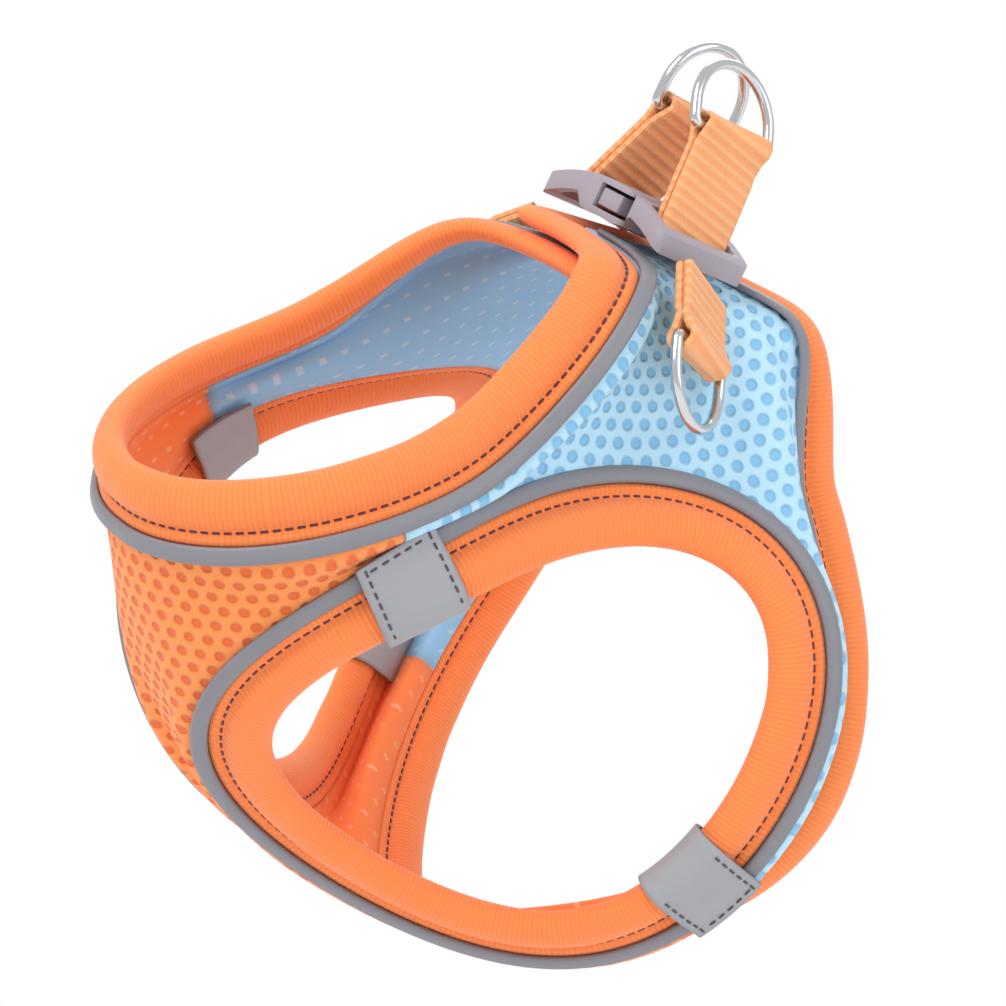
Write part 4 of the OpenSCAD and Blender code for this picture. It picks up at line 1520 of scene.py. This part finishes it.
@dataclass
class Tabs:
    """Reflective tabs folded round the leg bindings over the panel seams."""

    form: VestForm
    finish: Finishes
    width: float = 13.5
    thickness: float = 0.8
    fold_gap: float = 0.5
    shoulder_reach: float = 10.3
    belly_reach: float = 10.0
    settle: float = 0.55
    settle_from: float = 4.5
    settle_run: float = 4
    stitch_gap: float = 1.9
    stitch_length: float = 1.3
    thread: float = 0.45

    def place(self, k: float, along: Array, q: Array) -> Frames:
        """Places on a tab from a distance along the binding and a section place.

        Args:
            k: Station of the tab's middle.
            along: Distances along the binding.
            q: Section places [into the fabric, outwards], one per distance.

        Returns:
            Places, normals and inward directions of the left half.
        """
        f = self.form
        a = f.leg_frame(np.full(len(along), k - f.step))
        b = f.leg_frame(np.full(len(along), k + f.step))
        rate = np.linalg.norm(b[0] + b[2] * q[:, :1] - a[0] - a[2] * q[:, :1], axis=1) / (2 * f.step)
        p, n, i = f.leg_frame(k + along / rate)
        return p + i * q[:, :1] + n * q[:, 1:], n, i

    def outline(self, reach: float) -> Array:
        """The tab's fold, from the end of its outer ply round the roll to the end of its inner ply.

        Args:
            reach: Length of each ply from the roll's middle.

        Returns:
            The line as [into the fabric, outwards].
        """
        f = self.form
        stand = f.roll_t / 2 + f.sewn_gap + self.thickness / 2
        out = np.linspace(reach, 0, 12)[:-1]
        a = np.linspace(90, 270, 18)
        turn = np.stack([(f.roll_w / 2 + self.thickness / 2) * cosd(a) - self.fold_gap, stand * sind(a)], -1)
        settle = self.settle * smooth((out - self.settle_from) / self.settle_run)
        upper = np.stack([out, stand - settle], -1)
        return np.vstack([upper, turn, upper[::-1] * np.array([1, -1])])

    def build(self) -> None:
        """Makes the four tabs with their stitching."""
        f = self.form
        for name, k, reach in (("shoulder_tab", f.shoulder_at, self.shoulder_reach),
                               ("belly_tab", f.belly_at, self.belly_reach)):
            line = self.outline(reach)
            along = np.linspace(-self.width / 2, self.width / 2, 15)
            w, i = np.meshgrid(along, np.arange(len(line)), indexing="ij")
            grid = self.place(k, w.ravel(), line[i.ravel()])[0].reshape(*w.shape, 3)
            for side in Side:
                middle = f.leg_frame(np.array([k]))
                core = mirrored(middle[0][0] + middle[2][0] * 2, side)
                obj = thick_sheet(f"{name}_{side.word}", [mirrored(grid, side)], self.thickness, core)
                dress(obj, self.finish.tab, self.finish.tab_back)
                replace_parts(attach(obj, side.body), f"{name}_{side.word}")
                self.stitch(f"{name}_{side.word}", k, reach, side)

    def stitch(self, name: str, k: float, reach: float, side: Side) -> None:
        """Sews a tab's outer ply along both sides and its end.

        Args:
            name: The tab's name.
            k: Its station.
            reach: Length of its outer ply from the roll's middle.
            side: Which half.
        """
        f = self.form
        top = f.roll_t / 2 + f.sewn_gap + self.thickness + 0.05
        rows = []
        edge = self.width / 2 - 1.3
        for w0 in (-edge, edge):
            q = np.arange(reach - 1.2, -2.5, -self.stitch_gap)
            rows.append((np.full(len(q), w0), q, np.array([0, 1.0])))
        w = np.arange(-edge + 1.1, edge - 0.5, self.stitch_gap)
        rows.append((w, np.full(len(w), reach - 1.2), np.array([1.0, 0])))
        spots, dirs, ups = [], [], []
        for w0, q, lie in rows:
            over_lip = top - self.settle * smooth((q - self.settle_from) / self.settle_run)
            round_roll = top * np.sqrt(np.maximum(0.2, 1 - (q / 5.0) ** 2))
            height = np.where(q > 0, over_lip, round_roll)
            p, n, i = self.place(k, w0, np.stack([q, height], -1))
            ahead = self.place(k, w0 + lie[0] * 0.3, np.stack([q + lie[1] * 0.3, height], -1))[0]
            spots.append(p), dirs.append(unit(ahead - p)), ups.append(n)
        rows = (mirrored(np.vstack(v), side) for v in (spots, dirs, ups))
        obj = stitches(f"{name}_thread", *rows, self.stitch_length, self.thread)
        dress(obj, self.finish.grey_thread)
        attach(obj, side.body)


@dataclass
class Straps:
    """Webbing straps and bases, in the straps' own axes."""

    form: VestForm
    finish: Finishes
    lean: float = 5
    along: float = 20
    web_w: float = 15
    web_t: float = 1.4
    wire_d: float = 1.9
    bar_gap: float = 0.1
    ring_rise: float = 25.5
    ring_y: float = 5.4
    ring_bar_x: float = -1.7
    slot_y: float = 11
    buckle_x: float = -5.7
    buckle_rise: float = 9.6
    buckle_t: float = 3.4
    base_gap: float = 0.35

    @cached_property
    def axes(self) -> tuple[Array, Array, Array]:
        """The straps' foot and their along and up directions.

        Returns:
            A point and two directions of length 1.
        """
        f = self.form
        u = f.spine * cosd(self.lean) - f.spine_up * sind(self.lean)
        w = f.spine * sind(self.lean) + f.spine_up * cosd(self.lean)
        return f.withers + f.spine * self.along, u, w

    def to_row(self, q: Array) -> Array:
        """Places [along, across, up] from the straps' foot, in the row frame."""
        foot, u, w = self.axes
        return foot + q[..., :1] * u + q[..., 1:2] * np.array([0, 1.0, 0]) + q[..., 2:] * w

    def ribbon(self, name: str, path: Array, width: Array, normal: Array) -> bpy.types.Object:
        """One length of webbing along a path.

        Args:
            name: The piece's name.
            path: Middle line of the webbing.
            width: Direction of its width at each point.
            normal: Direction of its face at each point.

        Returns:
            The piece.
        """
        w, t = self.web_w / 2, self.web_t / 2
        xs = np.linspace(-w + 0.4, w - 0.4, 20)
        top = np.stack([xs, np.full(20, t)], -1)
        edge = np.array([[w, t * 0.4], [w, -t * 0.4]])
        section = np.vstack([top, edge, top[::-1] * np.array([1, -1]), -edge])
        obj = sweep(name, (path, normal, width), section)
        return dress(obj, self.finish.webbing)

    def loop(self, run: float, ply: float, points: int = 16) -> Array:
        """A flat loop round a bar at the origin, as [across the plies, along them].

        Args:
            run: Length of the plies from the bar's middle.
            ply: Half the distance between the plies' middles.
            points: Points round the bar.

        Returns:
            The loop's middle line: down one ply, round the bar and back.
        """
        r = self.wire_d / 2 + self.bar_gap + self.web_t / 2
        a = np.linspace(-20, 200, points)
        turn = np.stack([r * cosd(a), -r * sind(a)], -1)
        s = np.linspace(3.6, run, 14)
        one = np.stack([np.full(len(s), ply), s], -1)[::-1]
        return np.vstack([one, turn, one[::-1] * np.array([-1, 1])])

    def build(self) -> None:
        """Makes both straps and both bases."""
        ply = self.web_t / 2 + 0.05
        bar = np.array([self.ring_bar_x, -self.ring_y, self.ring_rise])
        slot = np.array([self.buckle_x, -self.slot_y, self.buckle_rise - self.buckle_t / 2])
        down = unit(slot - bar)
        end = np.linalg.norm(slot - bar) + self.buckle_t / 2 + 1.2
        flat = unit(np.array([0, -down[2], down[1]]))
        line = self.loop(end, ply)
        q = bar + flat * line[:, :1] + down * line[:, 1:]
        path = self.to_row(q)
        run = unit(np.gradient(path, axis=0))
        width = np.broadcast_to(self.axes[1], path.shape)
        width = unit(width - run * dot(width, run))
        for side in Side:
            body = "left_strap" if side is Side.LEFT else "right_half"
            p, w, r = (mirrored(v, side) for v in (path, width, run))
            obj = self.ribbon(f"strap_{side.word}", p, w, np.cross(r, w))
            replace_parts(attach(obj, body), f"strap_{side.word}")
            self.base(side)

    def base_frame(self, side: Side) -> tuple[Array, Array, Array, Array]:
        """Top and fold of a base on its mesh, its width direction and its outward normal, on the left.

        Args:
            side: Which half.

        Returns:
            Two points and two directions.
        """
        f = self.form
        places = f.mesh_at(np.array([0.78, 1.92, 0.70, 1.66]), np.array([0.93, 0.49, 0.72, 0.40]), side)
        top, fold = (places[0] + places[1]) / 2, (places[2] + places[3]) / 2
        u = unit(places[3] - places[2])
        n = unit(np.cross(fold - top, u))
        return top, fold, u, n

    def base(self, side: Side) -> None:
        """Makes one base: two plies sewn down, folded round the tag ring's bar.

        Args:
            side: Which half.
        """
        f = self.form
        top, fold, u, n = self.base_frame(side)
        low = f.mesh_t / 2 + f.sewn_gap + f.piping_t + self.base_gap
        fold_r = self.wire_d / 2 + self.bar_gap + self.web_t
        bar = fold + n * (low + fold_r) + np.cross(u, n) * 2.4
        middle_top = top + n * (low + self.web_t + 0.05)
        back = unit(middle_top - bar)
        flat = unit(np.cross(u, back))
        line = self.loop(float(np.linalg.norm(middle_top - bar)), self.web_t / 2 + 0.05)
        path = bar + flat * line[:, :1] + back * line[:, 1:]
        run = unit(np.gradient(path, axis=0))
        width = np.broadcast_to(u, path.shape)
        width = unit(width - run * dot(width, run))
        p, w, r = (mirrored(v, side) for v in (path, width, run))
        obj = self.ribbon(f"strap_base_{side.word}", p, w, np.cross(r, w))
        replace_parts(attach(obj, side.body), f"strap_base_{side.word}")


@dataclass
class Hardware:
    """Rings, buckle parts and tapes, which keep the CAD's own shape with softened edges."""

    finish: Finishes
    bodies: dict[str, list[str]]
    bevel: float = 0.35
    tape_bevel: float = 0.15

    def copy(self, node: str, material: bpy.types.Material, slot: str, bevel: float) -> None:
        """Makes a shown piece from a CAD node.

        Args:
            node: The CAD node.
            material: The piece's material.
            slot: The record's material slot; not used.
            bevel: Width of the softened edges, or 0.
        """
        mesh = bpy.data.objects[node].data.copy()
        obj = bpy.data.objects.new(f"{node}_piece", mesh)
        bpy.context.scene.collection.objects.link(obj)
        weld = obj.modifiers.new("Weld", "WELD")
        weld.merge_threshold = 0.00002
        if bevel:
            soft = obj.modifiers.new("Soft edges", "BEVEL")
            soft.width, soft.segments = bevel * MM, 3
            soft.limit_method, soft.angle_limit = "ANGLE", math.radians(35)
        apply_modifiers(obj)
        obj.data.set_sharp_from_angle(angle=math.radians(38))
        dress(obj, material)
        body = next(b for b, nodes in self.bodies.items() if node in nodes)
        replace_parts(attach(obj, body), node)

    def build(self) -> None:
        """Makes every hard piece."""
        fin = self.finish
        rings = ("leash_ring_left", "leash_ring_right", "tag_ring")
        buckle = ("buckle_socket", "buckle_plug", "release_arm_front", "release_arm_rear")
        tapes = ("loop_tape", "hook_tape")
        for nodes, material, slot, bevel in ((rings, fin.steel, "steel", 0),
                                             (buckle, fin.plastic, "buckle_plastic", self.bevel),
                                             (tapes, fin.tape, "fastening_tape", self.tape_bevel)):
            for node in nodes:
                self.copy(node, material, slot, bevel)


# ---- Studio ----


@dataclass(frozen=True)
class Lamp:
    """One square soft lamp, placed along the camera's right, up and back directions."""

    name: str
    place: tuple[float, float, float]
    size: float
    power: float


@dataclass(frozen=True)
class Studio:
    """Camera, lamps, floor and background. Angles in degrees, lengths in millimetres."""

    azimuth: float = -42.24
    elevation: float = 5.70
    roll: float = 29.37
    distance: float = 579.1
    sensor: float = 36
    lens: float = 122.2672
    shift: tuple[float, float] = (0.041849, 0.10328)
    lamps: tuple[Lamp, ...] = (Lamp("Key", (-0.55, 0.95, 0.75), 0.7, 9.0),
                               Lamp("Fill", (1.0, 0.35, 0.7), 0.9, 3.2),
                               Lamp("Rim", (0.2, 0.9, -0.8), 0.8, 4.0))
    floor_tilt: float = 12
    floor_drop: float = 125
    floor_half: float = 1500
    ambient: float = 0.74

    def axes(self) -> tuple[Array, Array, Array]:
        """The camera's right, up and back directions.

        Returns:
            Three directions of length 1.
        """
        a, e, r = np.radians([self.azimuth, self.elevation, self.roll])
        back = np.array([np.sin(a) * np.cos(e), -np.cos(a) * np.cos(e), np.sin(e)])
        right = np.array([np.cos(a), np.sin(a), 0])
        up = np.cross(back, right)
        return right * np.cos(r) + up * np.sin(r), -right * np.sin(r) + up * np.cos(r), back

    def build(self) -> None:
        """Makes the camera, the lamps, the floor and the world."""
        right, up, back = self.axes()
        cam = bpy.data.objects.new("Camera", bpy.data.cameras.new("Camera"))
        bpy.context.scene.collection.objects.link(cam)
        cam.data.sensor_width, cam.data.lens = self.sensor, self.lens
        cam.data.shift_x, cam.data.shift_y = self.shift
        cam.data.clip_start, cam.data.clip_end = 0.01, 20
        place = Matrix(np.column_stack([right, up, back]).tolist()).to_4x4()
        place.translation = Vector(back * self.distance * MM)
        cam.matrix_world = place
        bpy.context.scene.camera = cam
        for lamp in self.lamps:
            at = right * lamp.place[0] + up * lamp.place[1] + back * lamp.place[2]
            obj = bpy.data.objects.new(lamp.name, bpy.data.lights.new(lamp.name, "AREA"))
            obj.data.size, obj.data.energy = lamp.size, lamp.power
            obj.matrix_world = Vector(-at).to_track_quat("-Z", "Y").to_matrix().to_4x4()
            obj.location = Vector(at)
            bpy.context.scene.collection.objects.link(obj)
        self.floor(up, back)
        self.world()

    def floor(self, up: Array, back: Array) -> None:
        """A pale floor under the object, level in the picture.

        Args:
            up: The camera's up direction.
            back: The camera's back direction.
        """
        tilt = math.radians(self.floor_tilt)
        n = unit(up * math.cos(tilt) + back * math.sin(tilt))
        a = unit(np.cross(n, back))
        b = np.cross(n, a)
        corners = np.array([[-1, -1], [1, -1], [1, 1], [-1, 1]]) * self.floor_half
        verts = -n * self.floor_drop + corners[:, :1] * a + corners[:, 1:] * b
        obj = new_object("floor", verts, np.array([[0, 1, 2, 3]]))
        s = Shader("Floor")
        ray = s.add("LightPath", out="Is Camera Ray")
        pale = s.add("BsdfDiffuse", linear("#F2F2F2"))
        white = s.add("Emission", linear("#FFFFFF"), 1.0)
        s.add("OutputMaterial", s.add("MixShader", ray, pale, white))
        obj.data.materials.append(s.material)

    def world(self) -> None:
        """Soft even light, seen as plain white by the camera."""
        world = bpy.data.worlds.new("Studio")
        bpy.context.scene.world = world
        world.use_nodes = True
        tree = world.node_tree
        tree.nodes.clear()
        ray = tree.nodes.new("ShaderNodeLightPath")
        mix = tree.nodes.new("ShaderNodeMix")
        mix.inputs[2].default_value, mix.inputs[3].default_value = self.ambient, 1.0
        shine = tree.nodes.new("ShaderNodeBackground")
        out = tree.nodes.new("ShaderNodeOutputWorld")
        shine.inputs[0].default_value = linear("#FFFFFF")
        tree.links.new(ray.outputs["Is Camera Ray"], mix.inputs[0])
        tree.links.new(mix.outputs[0], shine.inputs[1])
        tree.links.new(shine.outputs[0], out.inputs[0])


def main() -> None:
    """Builds every sub-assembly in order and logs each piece."""
    logging.basicConfig(level=logging.INFO, format="%(message)s")
    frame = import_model()
    form, finish = VestForm(), Finishes()
    hardware = Hardware(finish, frame["record"]["behaviour"]["bodies"])
    soft = [kind(form, finish) for kind in (Panels, Bindings, Tabs, Straps)]
    for part in (*soft, hardware):
        before = set(bpy.data.objects.keys())
        part.build()
        for name in sorted(set(bpy.data.objects.keys()) - before):
            LOG.info("%s: %s, %d faces", type(part).__name__, name, len(bpy.data.objects[name].data.polygons))
    Studio().build()
    bpy.context.scene.view_settings.view_transform = "Standard"
    bpy.context.view_layer.update()


if __name__ == "__main__":
    main()
